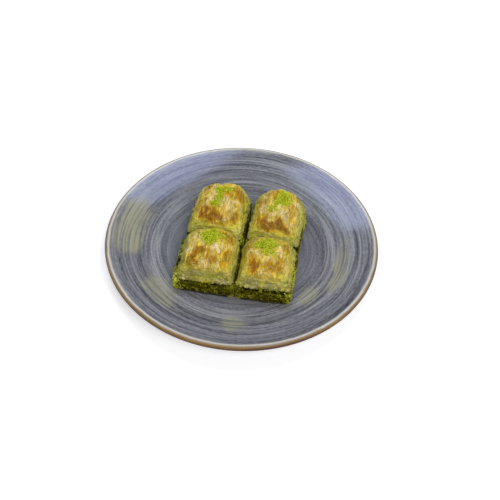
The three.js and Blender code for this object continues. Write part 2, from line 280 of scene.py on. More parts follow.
class FillingSettings(bpy.types.PropertyGroup):
    """Filling and base"""
    nut_size: length("Nut size", "Mean radius of a piece of ground nut", 0.6)
    nut_density: share("Nut density", "Pieces of nut on each square millimetre", 0.25)
    # Painted shade in the gaps between the nuts
    hollow: colour("Hollows", "Gaps between the nuts", 22, 18, 0)
    dark: colour("Dark nuts", "Soaked ground pistachio", 70, 66, 2)
    light: colour("Light nuts", "Cut faces of the nuts", 142, 142, 36)
    base: colour("Base leaves", "Leaves under the filling", 156, 156, 40)


class SprinkleSettings(bpy.types.PropertyGroup):
    """Ground pistachio on top"""
    grain_size: length("Grain size", "Mean radius of a grain", 0.4)
    grain_density: share("Grain density", "Grains on each square millimetre of a clump", 6.5)
    pile: length("Pile", "Height of a clump", 1.1)
    crumb_size: length("Crumb size", "Mean radius of a loose crumb", 0.32)
    crumb_density: share("Crumb density", "Loose crumbs on each square millimetre close to the block", 0.05)
    crumb: colour("Crumb", "Darkest loose crumbs", 96, 96, 20)
    dark: colour("Dark grains", "Skins", 146, 170, 0)
    light: colour("Light grains", "Kernels", 252, 255, 76)


class StudioSettings(bpy.types.PropertyGroup):
    """Floor, lights and camera"""
    floor: colour("Floor", "Table top", 250, 250, 251)
    floor_glow: share("Floor glow", "Light that the pale table adds, so that it stays near white", 0.5)
    sky: share("Room light", "Strength of the light from all round", 0.24)
    softbox: share("Softbox", "Brightness of the two softboxes behind", 6.6)
    fill: share("Fill light", "Brightness of the softbox in front", 4.4)
    camera_lens: length("Lens", "Focal length on a sensor 36 mm wide", 93.72)


def settings(name):
    """A group of settings of the scene."""
    return getattr(bpy.context.scene, name)


# Repeatable noise

ALL_BITS = 0xFFFFFFFF


def place_hash(x, y, z, seed):
    """A number from 0 to 1 for each whole-number place."""
    mixed = (x * 374761393 + y * 668265263 + z * 1103515245 + seed * 362437) & ALL_BITS
    mixed = ((mixed ^ (mixed >> 13)) * 1274126177) & ALL_BITS
    mixed = ((mixed ^ (mixed >> 15)) * 668265263) & ALL_BITS
    return (mixed ^ (mixed >> 16)) / ALL_BITS


def noise(x, y, z=0.0, seed=0):
    """Smooth noise from -1 to 1 with a wavelength of about 2."""
    axes = np.broadcast_arrays(*(np.asarray(axis, float) for axis in (x, y, z)))
    lower = [np.floor(axis).astype(np.int64) for axis in axes]
    parts = [axis - start for axis, start in zip(axes, lower)]
    rises = [part ** 3 * (part * (part * 6 - 15) + 10) for part in parts]
    total = np.zeros(axes[0].shape)
    for corner in range(8):
        steps = [corner & 1, corner >> 1 & 1, corner >> 2 & 1]
        weight = 1.0
        for step, rise in zip(steps, rises):
            weight = weight * (rise if step else 1 - rise)
        total += weight * place_hash(*(start + step for start, step in zip(lower, steps)), seed)
    return total * 2 - 1


def ridges(x, y, z=0.0, seed=0):
    """Noise with sharp crests, from about -0.6 to 0.4."""
    return 0.4 - np.abs(noise(x, y, z, seed)) * 1.6


def cells(places, seed):
    """The cell of a jittered lattice that each place is in: how far its middle is, how near its edge,
    a number of its own from 0 to 1 and the way from its middle."""
    base = np.floor(places).astype(np.int64)
    near, second = np.full(len(places), 9.0), np.full(len(places), 9.0)
    own, offset = np.zeros(len(places)), np.zeros(places.shape)
    for step in np.ndindex(*(3,) * places.shape[1]):
        cell = base + step - np.ones_like(step)
        spot = [*cell.T, *[0 * near.astype(np.int64)] * (3 - places.shape[1])]
        jitter = np.stack([place_hash(*spot, seed + axis) for axis in range(len(step))], -1)
        away = places - (cell + 0.15 + 0.7 * jitter)
        distance = np.linalg.norm(away, axis=1)
        closer = distance < near
        second = np.where(closer, near, np.minimum(second, distance))
        near = np.where(closer, distance, near)
        own = np.where(closer, place_hash(*spot, seed + 5), own)
        offset = np.where(closer[:, None], away, offset)
    return near, second - near, own, offset


def ease(low, high, value):
    """0 below low, 1 above high and smooth between them."""
    part = np.clip((value - low) / (high - low), 0, 1)
    return part * part * (3 - 2 * part)


# Meshes

def new_object(name, points, faces, material):
    """An object whose mesh has the points, in metres, and smooth faces."""
    mesh = bpy.data.meshes.new(name)
    mesh.from_pydata(np.asarray(points).tolist(), [], faces)
    mesh.polygons.foreach_set("use_smooth", [True] * len(mesh.polygons))
    mesh.materials.append(material)
    mesh.update()
    thing = bpy.data.objects.new(name, mesh)
    bpy.context.scene.collection.objects.link(thing)
    return thing


def keep(thing, **kept):
    """Keeps numbers for each point of a mesh, by name."""
    for name, values in kept.items():
        layer = thing.data.attributes.new(name, "FLOAT", "POINT")
        layer.data.foreach_set("value", np.asarray(values, np.float32))


def read(items, name):
    """Three numbers for each of a mesh's points."""
    values = np.empty(len(items) * 3)
    items.foreach_get(name, values)
    return values.reshape(-1, 3)


def move_points(thing, places):
    """Puts an object's points in new places."""
    thing.data.vertices.foreach_set("co", np.asarray(places, np.float32).ravel())
    thing.data.update()


def bake_nodes(thing):
    """Turns what the geometry nodes make into a plain mesh."""
    evaluated = thing.evaluated_get(bpy.context.evaluated_depsgraph_get())
    mesh = bpy.data.meshes.new_from_object(evaluated)
    mesh.name = thing.name
    thing.modifiers.clear()
    thing.data = mesh


def hand_over(thing, slot, *nodes):
    """Lets a finished piece ride on the frame in place of the solids that it stands for."""
    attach(thing, BODY)
    if nodes:
        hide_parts(*nodes)


def join_rings(upper, lower):
    """Faces between two rings of points that run counter-clockwise."""
    return list(zip(upper, lower, lower[1:] + lower[:1], upper[1:] + upper[:1]))


def close_ring(ring, centre, faces_up):
    """Faces from a ring of points to a middle point."""
    pairs = zip(ring, ring[1:] + ring[:1])
    return [(centre, *(pair if faces_up else pair[::-1])) for pair in pairs]


def close_stack(rings, rising):
    """Points and faces of a stack of rings, closed by a point in the middle of each end."""
    count = len(rings[0])
    rows = [list(range(row * count, (row + 1) * count)) for row in range(len(rings))]
    points = np.vstack([*rings, [[0, 0, rings[0][0, 2]], [0, 0, rings[-1][:, 2].min()]]])
    faces = close_ring(rows[0], len(points) - 2, not rising) + close_ring(rows[-1], len(points) - 1, rising)
    for first, second in zip(rows, rows[1:]):
        faces += join_rings(second, first) if rising else join_rings(first, second)
    return points, faces


# Node trees

class Wire:
    """An output of a node. A sum on it adds a node to its tree."""

    def __init__(self, writer, socket):
        self.writer = writer
        self.socket = socket
        self.plain = socket.type not in ("VECTOR", "RGBA")

    def math(self, operation, other=None, clamp=False):
        """Result of one sum, on numbers or on vectors."""
        values = {0: self, 1: other}
        if self.plain:
            return self.writer.get("ShaderNodeMath", values, operation=operation, use_clamp=clamp)
        if operation == "MULTIPLY" and (isinstance(other, float) or getattr(other, "plain", False)):
            return self.writer.scaled(self, other)
        output = 1 if operation == "LENGTH" else 0
        return self.writer.get("ShaderNodeVectorMath", values, output, operation=operation)

    def __add__(self, other):
        return self.math("ADD", other)

    def __sub__(self, other):
        return self.math("SUBTRACT", other)

    def __mul__(self, other):
        return self.math("MULTIPLY", other)

    def __truediv__(self, other):
        return self.math("DIVIDE", other)

    def plus(self, other):
        """A sum that is kept between 0 and 1."""
        return self.math("ADD", other, clamp=True)

    def varied(self, texture, amount):
        """A value with some of a texture in it, kept between 0 and 1."""
        return self.plus(texture.band(0.3, 0.7, -amount, amount))

    def noise(self, scale, detail=2.0, roughness=0.5):
        """Noise from 0 to 1 about a half, at places."""
        values = {"Vector": self, "Scale": scale, "Detail": detail, "Roughness": roughness}
        return self.writer.get("ShaderNodeTexNoise", values)

    def band(self, low, high, out_low=0.0, out_high=1.0):
        """A smooth step between two values."""
        values = {"Value": self, 1: low, 2: high, 3: out_low, 4: out_high}
        return self.writer.get("ShaderNodeMapRange", values, interpolation_type="SMOOTHSTEP")

    def under(self, tint, factor):
        """This colour with another laid over it."""
        return self.writer.get("ShaderNodeMix", {0: factor, 6: self, 7: tint}, 2, data_type="RGBA")

    def ramp(self, *stops):
        """A colour from stops of place and colour."""
        node = self.writer.add("ShaderNodeValToRGB", {0: self})
        elements = node.color_ramp.elements
        while len(elements) < len(stops):
            elements.new(1.0)
        for element, (place, tint) in zip(elements, stops):
            element.position = place
            element.color = opaque(tint)
        return Wire(self.writer, node.outputs[0])


class Writer:
    """Adds nodes to a tree, one after the other, and joins them."""

    def __init__(self, tree):
        self.tree = tree

    def add(self, kind, values=None, **options):
        """A new node with its options set and its inputs joined or filled in."""
        node = self.tree.nodes.new(kind)
        count = len(self.tree.nodes) - 1
        node.location = (count % 12 * 190, -(count // 12) * 320)
        for option, value in options.items():
            setattr(node, option, value)
        for key, value in (values or {}).items():
            if isinstance(value, Wire):
                self.tree.links.new(value.socket, node.inputs[key])
            elif value is not None:
                node.inputs[key].default_value = opaque(value) if node.inputs[key].type == "RGBA" else value
        return node

    def get(self, kind, values=None, output=0, **options):
        """An output of a new node."""
        return Wire(self, self.add(kind, values, **options).outputs[output])

    def scaled(self, vector, factor):
        """A vector times a number."""
        return self.get("ShaderNodeVectorMath", {0: vector, "Scale": factor}, operation="SCALE")

    def kept(self, name):
        """A number kept on the mesh's points, for a shader."""
        return self.get("ShaderNodeAttribute", output="Fac", attribute_name=name)


def opaque(tint):
    """A colour with full alpha."""
    return (*tint[:3], 1)


def polar(place):
    """Distance from the upright axis and the way from it."""
    flat = place * (1, 1, 0)
    return flat.math("LENGTH"), flat.math("NORMALIZE")


def new_material(name):
    """A material, its writer and the places on the object."""
    material = bpy.data.materials.new(name)
    material.use_nodes = True
    material.node_tree.nodes.clear()
    writer = Writer(material.node_tree)
    return material, writer, writer.get("ShaderNodeTexCoord", output="Object")


def finish_material(writer, height=None, distance=0.0, **values):
    """Ends a material in a shader with fine relief, and plain values on the shader's own sockets."""
    sockets = {name.replace("_", " "): value for name, value in values.items()}
    if height:
        sockets["Normal"] = writer.get("ShaderNodeBump", {"Height": height, "Distance": distance})
    shader = writer.get("ShaderNodeBsdfPrincipled", sockets)
    writer.add("ShaderNodeOutputMaterial", {0: shader})


def mottled(name, kept, texture, amount, stops, distance, hollow=None, **values):
    """A material whose mesh keeps the place of its tint between some stops."""
    material, writer, place = new_material(name)
    cloud = place.noise(*texture)
    tint = writer.kept(kept).varied(cloud, amount).ramp(*stops)
    # Painted shade in the recesses that the mesh keeps
    if hollow is not None:
        tint = tint.under(hollow, writer.kept("hollow"))
    finish_material(writer, cloud, distance, Base_Color=tint, **values)
    return material


def new_tree(name, kinds):
    """A geometry node tree with named inputs, its writer, and the inputs."""
    tree = bpy.data.node_groups.new(name, "GeometryNodeTree")
    for label, kind in {"Geometry": "Geometry", **kinds}.items():
        tree.interface.new_socket(label, in_out="INPUT", socket_type=f"NodeSocket{kind}")
    tree.interface.new_socket("Geometry", in_out="OUTPUT", socket_type="NodeSocketGeometry")
    writer = Writer(tree)
    start = writer.add("NodeGroupInput")
    return tree, writer, {label: Wire(writer, start.outputs[label]) for label in ("Geometry", *kinds)}


def finish_tree(writer, geometry, material):
    """Ends a tree in plain geometry with its material."""
    whole = writer.get("GeometryNodeRealizeInstances", {0: geometry})
    dressed = writer.get("GeometryNodeSetMaterial", {"Geometry": whole, "Material": material})
    writer.add("NodeGroupOutput", {0: dressed})


def run_tree(thing, tree, values):
    """Puts a tree on an object with its named inputs filled in, and bakes it."""
    modifier = thing.modifiers.new(tree.name, "NODES")
    modifier.node_group = tree
    for item in tree.interface.items_tree:
        if item.item_type == "SOCKET" and item.in_out == "INPUT" and item.name in values:
            modifier[item.identifier] = values[item.name]
    bake_nodes(thing)


# Plate

PALE_RINGS = (
    (69.6, 3.4, 0.65), (64.8, 0.6, 0.3), (82.8, 0.7, 0.3), (86.0, 0.7, 0.3), (91.6, 2.2, 0.65), (57.5, 0.7, 0.3),
)
DARK_RINGS = (
    (74.6, 0.6, 0.4), (78.6, 0.8, 0.6), (80.2, 0.5, 0.5), (88.2, 0.6, 0.4), (97.6, 1.0, 0.4), (61.5, 0.6, 0.3),
)
RINGS_END = (0.101, 0.098)
CALM_WELL = (0.052, 0.068)
CLAY_SHADE_HEIGHTS = (0.0169, 0.0146)
CREST_WIDTH = 0.95
CREST_FOOT = (14, 16.5)
CLAY_FOOT = (9.6, 11.6)
RING_SEGMENTS = 256
RECESS_STEPS = 12
UNDERSIDE_STEPS = 30
LIP_STEPS = 20
RIM_STEPS = 140
WELL_STEPS = 30
FINE_START = 46
UNDERSIDE_MIDDLE = 8
WELL_MIDDLE = 4
RING_WANDER = 0.8
RING_GAIN = 4.0
GLAZE_SHEEN = (0.56, 0.63, 1.0)
SPECK_SCALE = 62.0
SPECK_REACH = 0.042
UNDER_LIP = 90
CRUMB_START = 46
CRUMB_REACH = 3.0
CRUMB_HEIGHT = 12

# Ovals in the well, by distance from the middle and bearing in degrees, counted on from the first bearing
FIRST_BEARING = 60
WARM_PATCHES = spots(
    (88, 170, 12, 22, 0.85), (78, 221, 11, 16, 0.7), (78, 268, 8, 7, 0.65), (70, 315, 8, 11, 0.6),
    (79, 343, 6, 22, 0.8),
)


def lip_point(angle):
    """Place on the round lip, as distance from the middle and height."""
    return (
        PLATE_RADIUS - LIP_RADIUS + LIP_RADIUS * math.cos(angle),
        PLATE_HEIGHT - LIP_RADIUS + LIP_RADIUS * math.sin(angle),
    )


def well_height(radius):
    """Height of the plate's upper face above the table."""
    end = PLATE_RADIUS - LIP_RADIUS
    along = np.clip((np.asarray(radius, float) - WELL_RADIUS) / (end - WELL_RADIUS), 0, None)
    return WELL_HEIGHT + (PLATE_HEIGHT - WELL_HEIGHT) * along ** WELL_CURVE


def plate_profile():
    """The turned outline, from the middle of the underside round to the middle of the well."""
    recess = np.linspace(UNDERSIDE_MIDDLE, FOOT_INNER_RADIUS - FOOT_CHAMFER, RECESS_STEPS)
    outline = [(radius, FOOT_RECESS) for radius in recess]
    outline += [
        (FOOT_INNER_RADIUS, FOOT_CHAMFER), (FOOT_INNER_RADIUS + FOOT_CHAMFER, 0),
        (FOOT_OUTER_RADIUS - FOOT_CHAMFER, 0), (FOOT_OUTER_RADIUS, FOOT_CHAMFER),
    ]
    start = FOOT_OUTER_RADIUS + 2 * FOOT_CHAMFER
    end, end_height = lip_point(-math.pi / 2)
    for along in np.linspace(0, 1, UNDERSIDE_STEPS, endpoint=False):
        rise = (end_height - UNDERSIDE_HEIGHT) * along ** UNDERSIDE_CURVE
        outline.append((start + (end - start) * along, UNDERSIDE_HEIGHT + rise))
    outline += [lip_point(angle) for angle in np.linspace(-math.pi / 2, math.pi / 2, LIP_STEPS)]
    outline += [(radius, well_height(radius)) for radius in np.linspace(end, FINE_START, RIM_STEPS)[1:]]
    outline += [(radius, WELL_HEIGHT) for radius in np.linspace(FINE_START, WELL_MIDDLE, WELL_STEPS)[1:]]
    return np.array(outline)


def turned_mesh(name, outline, material):
    """A closed turned body, with a point in the middle above and below."""
    angles = np.linspace(0, 2 * math.pi, RING_SEGMENTS, endpoint=False)
    radii, heights = outline[:, :1], outline[:, 1:]
    rings = np.stack([radii * np.cos(angles), radii * np.sin(angles), heights + 0 * angles], -1)
    points, faces = close_stack(rings, True)
    return new_object(name, points * MM, faces, material)


def ring_tree(material):
    """Geometry nodes that raise the turned rings of the upper face."""
    tree, writer, given = new_tree("Turned rings", {"Ring pitch": "Float", "Ring depth": "Float"})
    radius, turn = polar(writer.get("GeometryNodeInputPosition"))
    swept = writer.get("ShaderNodeCombineXYZ", {2: radius / given["Ring pitch"]})
    relief = (turn * RING_WANDER + swept).noise(1.0, 1.0)
    facing = writer.get("GeometryNodeInputNormal")
    upward = writer.get("ShaderNodeSeparateXYZ", {0: facing}, 2).band(0.5, 0.9)
    height = (relief - 0.5) * given["Ring depth"] * RING_GAIN * upward * radius.band(*RINGS_END)
    values = {"Geometry": given["Geometry"], "Offset": facing * height}
    moved = writer.get("GeometryNodeSetPosition", values)
    finish_tree(writer, moved, material)
    return tree


def glaze_material(sizes):
    """Brushed blue-grey glaze that thins to bare clay on the lip."""
    material, writer, place = new_material("brushed glaze")
    radius, turn = polar(place)

    def stroke(wander, pitch, shift, detail=0.0):
        """Noise that is drawn out along the turned rings."""
        swept = writer.get("ShaderNodeCombineXYZ", {2: radius / (pitch * MM)})
        return (turn * wander + swept + (shift, 0, 0)).noise(1.0, detail, 0.6)

    broad, middle, fine = stroke(0.5, 9.0, 0.0), stroke(0.6, 3.0, 3.0), stroke(2.4, 1.25, 5.0)
    hair, cut = stroke(26.0, 0.9, 9.0, 1.0), stroke(0.6, 2.6, 12.0)
    patchy = place.noise(26.0, 3.0)
    calm = radius.band(*CALM_WELL, 0.55, 1.0)
    level = (broad * 0.22 + middle * 0.18 + fine * 0.32 + hair * 0.28).band(0.29, 0.73)
    level = (level - 0.45) * calm + 0.45
    ground = Vector(sizes.glaze)
    tint = level.ramp((0.0, sizes.line), (0.42, ground), (0.72, 1.35 * ground), (1.0, sizes.stroke))
    ring = writer.kept("pale_ring") * fine.band(0.3, 0.62, 0.3, 1.0)
    tint = tint.under(sizes.stroke, ring * patchy.band(0.3, 0.6, 0.55, 0.85))
    tint = tint.under(sizes.line, writer.kept("dark_ring") * middle.band(0.3, 0.6, 0.9, 0.3))
    cut = (cut - 0.5).math("ABSOLUTE").band(0.06, 0.015, 0.0, 0.45)
    tint = tint.under(sizes.line, cut * hair.band(0.35, 0.6, 1.0, 0.4) * calm)
    tint = tint.under(sizes.warm, writer.kept("warmth") * fine.band(0.3, 0.65, 0.35, 1.0))
    cell = writer.add("ShaderNodeTexVoronoi", {"Vector": place, "Scale": SPECK_SCALE})
    own = writer.get("ShaderNodeSeparateColor", {0: Wire(writer, cell.outputs["Color"])})
    away = Wire(writer, cell.outputs["Distance"])
    tint = tint.under(sizes.speck, away.math("LESS_THAN", own.band(0.7, 1.0, 0.0, SPECK_REACH)))
    height = writer.get("ShaderNodeSeparateXYZ", {0: place}, 2)
    # The lip's clay darkens downwards as painted shade under the lip
    low = height.band(*CLAY_SHADE_HEIGHTS).varied(patchy, 0.2)
    bare = writer.kept("bare_clay")
    clay = low.ramp((0.0, sizes.clay), (1.0, sizes.shaded_clay))
    tint = tint.under(clay, bare).under(sizes.crest, writer.kept("thin_crest"))
    finish_material(
        writer, fine + hair * 0.5, 0.000012, Base_Color=tint, IOR=1.42, Specular_Tint=GLAZE_SHEEN,
        Roughness=fine.band(0.3, 0.7, 0.07, 0.12) + bare * 0.35,
    )
    return material


def near_block(places):
    """1 at the foot of the block, falling to 0 a few millimetres from it."""
    local = turned(places - [*BLOCK_MIDDLE, 0], -BLOCK_TURN)
    out = np.maximum(np.abs(local[:, 0]), np.abs(local[:, 1])) - CRUMB_START
    return np.where(out < 0, 0, np.exp(-out / CRUMB_REACH))


def paint_plate(plate):
    """Keeps where the plate is pale, warm, thinly glazed and bare."""
    places = read(plate.data.vertices, "co") / MM
    x, y, z = places.T
    radius = np.hypot(x, y)
    upper = read(plate.data.vertex_normals, "vector")[:, 2] > 0
    wander = 0.8 * noise(x / 60, y / 60)
    pale, dark = (
        sum(strength * np.exp(-(((radius - middle + wander) / width) ** 2)) for middle, width, strength in rings)
        for rings in (PALE_RINGS, DARK_RINGS)
    )
    bearing = (np.degrees(np.arctan2(y, x)) - FIRST_BEARING) % 360 + FIRST_BEARING
    warmth = cover(WARM_PATCHES, radius, bearing, -0.25, 0.5, -0.3 * noise(x / 9, y / 9, 0, 4))
    crest = PLATE_RADIUS - LIP_RADIUS
    wander = 0.35 * noise(x / 7, y / 7, z / 3, 8)
    thin = np.exp(-(((radius - crest + 0.2 + wander) / CREST_WIDTH) ** 2)) * ease(*CREST_FOOT, z)
    outside = ease(crest + 0.5, crest + 1.2, radius + wander)
    foot = (radius > FOOT_INNER_RADIUS - 0.2) & (radius < FOOT_OUTER_RADIUS + 0.2) & (z < 1)
    edge = ~upper & (radius > UNDER_LIP)
    bare = np.maximum(outside, edge) * ease(*CLAY_FOOT, z + wander) + foot
    keep(
        plate, pale_ring=np.clip(pale, 0, 1) * upper, dark_ring=np.clip(dark, 0, 1) * upper,
        warmth=warmth * upper, thin_crest=np.clip(thin, 0, 1), bare_clay=np.clip(bare, 0, 1),
        crumbs=near_block(places) * upper * (z < CRUMB_HEIGHT),
    )


# Forms of the pieces, in millimetres from the middle of a piece's foot

def round_corners(a, b, power):
    """Points of the square from -1 to 1, drawn in at the corners as the edge nears."""
    edge = np.maximum(np.abs(a), np.abs(b))
    safe = np.where(edge == 0, 1, edge)
    total = np.where(edge == 0, 1, (np.abs(a) / safe) ** power + (np.abs(b) / safe) ** power)
    pull = 1 + (total ** (-1 / power) - 1) * edge ** 2
    return a * pull, b * pull


def rim_steps(cells):
    """The rim of a square grid, counter-clockwise, as grid steps from 0 to cells."""
    steps = np.arange(cells)
    return np.concatenate([
        np.stack([steps, 0 * steps], 1), np.stack([0 * steps + cells, steps], 1),
        np.stack([cells - steps, 0 * steps + cells], 1), np.stack([0 * steps, cells - steps], 1),
    ])


def crinkle(piece, x, y):
    """Height of the flutes, which run from the crown down to the front, and of the dents."""
    sway = SWAY_REACH * np.sin(y * SWAY_RATE + piece.seed)
    across = x * (1 + y * FLUTE_FAN) + sway
    flute = np.sin(2 * math.pi * across / FLUTE_PITCH + piece.seed)
    wave = np.sin(y * FADE_RATE_AWAY + x * FADE_RATE_ACROSS + piece.seed * 2)
    fade = 1 - FADE_SHARE + FADE_SHARE * wave
    dent = np.sin(x / DENT_LENGTH + piece.seed) * np.sin(y / DENT_LENGTH - piece.seed)
    return FLUTE_DEPTH * flute * fade + DENT_DEPTH * dent


def crown_points(piece, a, b):
    """Places on the crown for the square from -1 to 1."""
    u, v = round_corners(a, b, CROWN_CORNERS)
    x = u * (piece.pastry_size[0] / 2 - CROWN_INSET)
    y = v * (piece.pastry_size[1] / 2 - CROWN_INSET)
    fall = SIDE_FALL * np.abs(a) ** CROWN_POWER + END_FALL * np.abs(b) ** CROWN_POWER
    rise = (piece.peak - piece.shoulder) * (1 - fall)
    height = piece.shoulder + rise + piece.back_rise * b + crinkle(piece, x, y)
    height = height + cover(piece.lifts, x, y + CROWN_SHIFT, 0, 1)
    return np.stack([x, y + CROWN_SHIFT, height], -1)


def wall_points(piece, a, b, level):
    """Places on the leaning wall, from the shoulder at level 1 to the foot at level 0."""
    along = (1 - level) ** WALL_POWER
    power = CROWN_CORNERS + (CORNER_POWER - CROWN_CORNERS) * along
    inset = WALL_LEAN * level ** LEAN_POWER + SHOULDER_ROUND * level ** SHOULDER_POWER
    u, v = round_corners(a, b, power)
    top = crown_points(piece, a, b)[..., 2]
    x = u * (piece.pastry_size[0] / 2 - inset)
    y = v * (piece.pastry_size[1] / 2 - inset) + CROWN_SHIFT * level
    return np.stack([x, y, top * level], -1), top


def turned(points, angle):
    """Points turned about the upright axis."""
    x, y = points[..., 0], points[..., 1]
    cosine, sine = math.cos(angle), math.sin(angle)
    return np.stack([x * cosine - y * sine, x * sine + y * cosine, points[..., 2]], -1)


def in_block(piece, points):
    """Points of a piece, in millimetres from the middle of the plate."""
    placed = turned(points + [*piece.at, 0], BLOCK_TURN)
    return placed + [*BLOCK_MIDDLE, 0]


def cover(ovals, x, y, low, high, ragged=0.0):
    """How much the strongest oval covers each place, which rises from low to high on the way in. The way in
    counts as 0 at an oval's edge, as 1 at its middle and as less than 0 outside."""
    total = np.zeros(np.shape(x))
    for spot in ovals:
        reach = 1 - np.hypot((x - spot.x) / spot.half_width, (y - spot.y) / spot.half_length)
        total = np.maximum(total, spot.strength * ease(low, high, reach + ragged))
    return total


# Upper pastry

CROWN_CELLS = 104
WALL_RINGS = 76
RING_CROWDING = 1.25
FOOT_DROP = 0.35


def pastry_grid(piece):
    """Points of the bare form, places on the spread-out sheet, levels, nearness to a side, and faces."""
    unit = np.linspace(-1, 1, CROWN_CELLS + 1)
    a, b = np.meshgrid(unit, unit, indexing="ij")
    crown = crown_points(piece, a, b).reshape(-1, 3)
    number = np.arange(len(crown)).reshape(a.shape)
    quads = number[:-1, :-1], number[1:, :-1], number[1:, 1:], number[:-1, 1:]
    faces = np.stack(quads, -1).reshape(-1, 4).tolist()
    rim = rim_steps(CROWN_CELLS)
    rim_a, rim_b = unit[rim[:, 0]], unit[rim[:, 1]]
    upper = number[rim[:, 0], rim[:, 1]].tolist()
    side, crown_side = (
        np.abs(across) ** SIDE_POWER / (np.abs(across) ** SIDE_POWER + np.abs(away) ** SIDE_POWER + middle)
        for across, away, middle in ((rim_a, rim_b, 0), (a, b, SIDE_BLEND))
    )
    rows = [(crown, crown[:, :2], np.ones(len(crown)), crown_side.ravel())]
    for ring in range(1, WALL_RINGS + 1):
        level = 1 - (ring / WALL_RINGS) ** RING_CROWDING
        places, top = wall_points(piece, rim_a, rim_b, level)
        drop = top - places[:, 2]
        spread = np.stack([np.sign(rim_a) * drop * side, np.sign(rim_b) * drop * (1 - side)], -1)
        rows.append((places, places[:, :2] + spread, np.full(len(places), level), side))
    rows.append((places - [0, 0, FOOT_DROP], rows[-1][1], np.zeros(len(places)), side))
    rows.append((np.array([[0, 0, -FOOT_DROP]]), np.zeros((1, 2)), np.zeros(1), np.zeros(1)))
    points, sheet, levels, sides = (np.concatenate(parts) for parts in zip(*rows))
    for count in range(len(crown), len(points) - 1, len(side)):
        lower = list(range(count, count + len(side)))
        faces += join_rings(upper, lower)
        upper = lower
    faces += close_ring(lower, len(points) - 1, False)
    return points, sheet, levels, sides, faces


SHARD_SLOPE = 0.16
SHARD_STEP = 0.26
SHARD_GROOVE = 0.2
SHARD_SIZES = ((2.2, 4.6, 40), (5.0, 3.2, 50), (4.2, 2.8, 60))
GOLDEN_REACH = (21.5, 22.5)
GOLDEN_MIDDLE = -1.0
FLAKE_SHARE = 0.12


def shards(u, v, across, away, seed):
    """Crumpled facets of the leaves: their height in millimetres, a number of their own and the gaps."""
    warp_u, warp_v = (0.45 * noise(u / across * 1.6, v / away * 1.6, 0, seed + turn) for turn in (1, 2))
    _, edge, own, offset = cells(np.stack([u / across + warp_u, v / away + warp_v], 1), seed + 3)
    tilt = offset[:, 0] * across * np.cos(own * 40) + offset[:, 1] * away * np.sin(own * 40)
    groove = ease(0.14, 0.02, edge)
    return SHARD_SLOPE * tilt + SHARD_STEP * (own - 0.5) - SHARD_GROOVE * groove, own, groove


def top_relief(piece, u, v):
    """Crinkles and folds of the top leaves, about nothing on the whole."""
    seed = piece.seed
    warp = 1.4 * noise(u / 7, v / 9, 0, seed) + 0.5 * noise(u / 2.5, v / 3.5, 0, seed + 9)
    folds = ridges((u + warp) / 3.0, v / 8, 0, seed + 1)
    crisp = ridges((u - warp) / 1.3, v / 3.2, 0, seed + 2)
    sharp = ridges((u + 0.7 * warp) / 0.8, v / 2.2, 0, seed + 4)
    grit = noise(u / 0.55, v / 0.8, 0, seed + 5)
    crisp *= 0.6 + 0.6 * ease(-0.3, 0.3, noise(u / 5, v / 5, 0, seed + 6))
    return 0.6 * folds + 0.4 * crisp + 0.14 * sharp + 0.03 * grit


def cut_relief(piece, places, pitch, depth):
    """Leaves that show at the cut sides, one above the other."""
    x, y, z = places.T
    seed = piece.seed
    height = z + noise(x / 9, y / 9, z / 5, seed + 6) + 0.2 * noise(x / 3.5, y / 3.5, z / 3, seed + 7)
    height = height / pitch
    leaf = np.floor(height)
    rounded = np.sqrt(np.clip(np.sin(math.pi * (height - leaf)), 0, 1))
    own = noise(leaf * 3.7, x / 12, y / 12, seed + 8)
    near = noise(leaf * 5.3, x / 5, y / 5, seed + 9)
    return depth * (rounded - 0.6 + 0.8 * own + 0.4 * near)


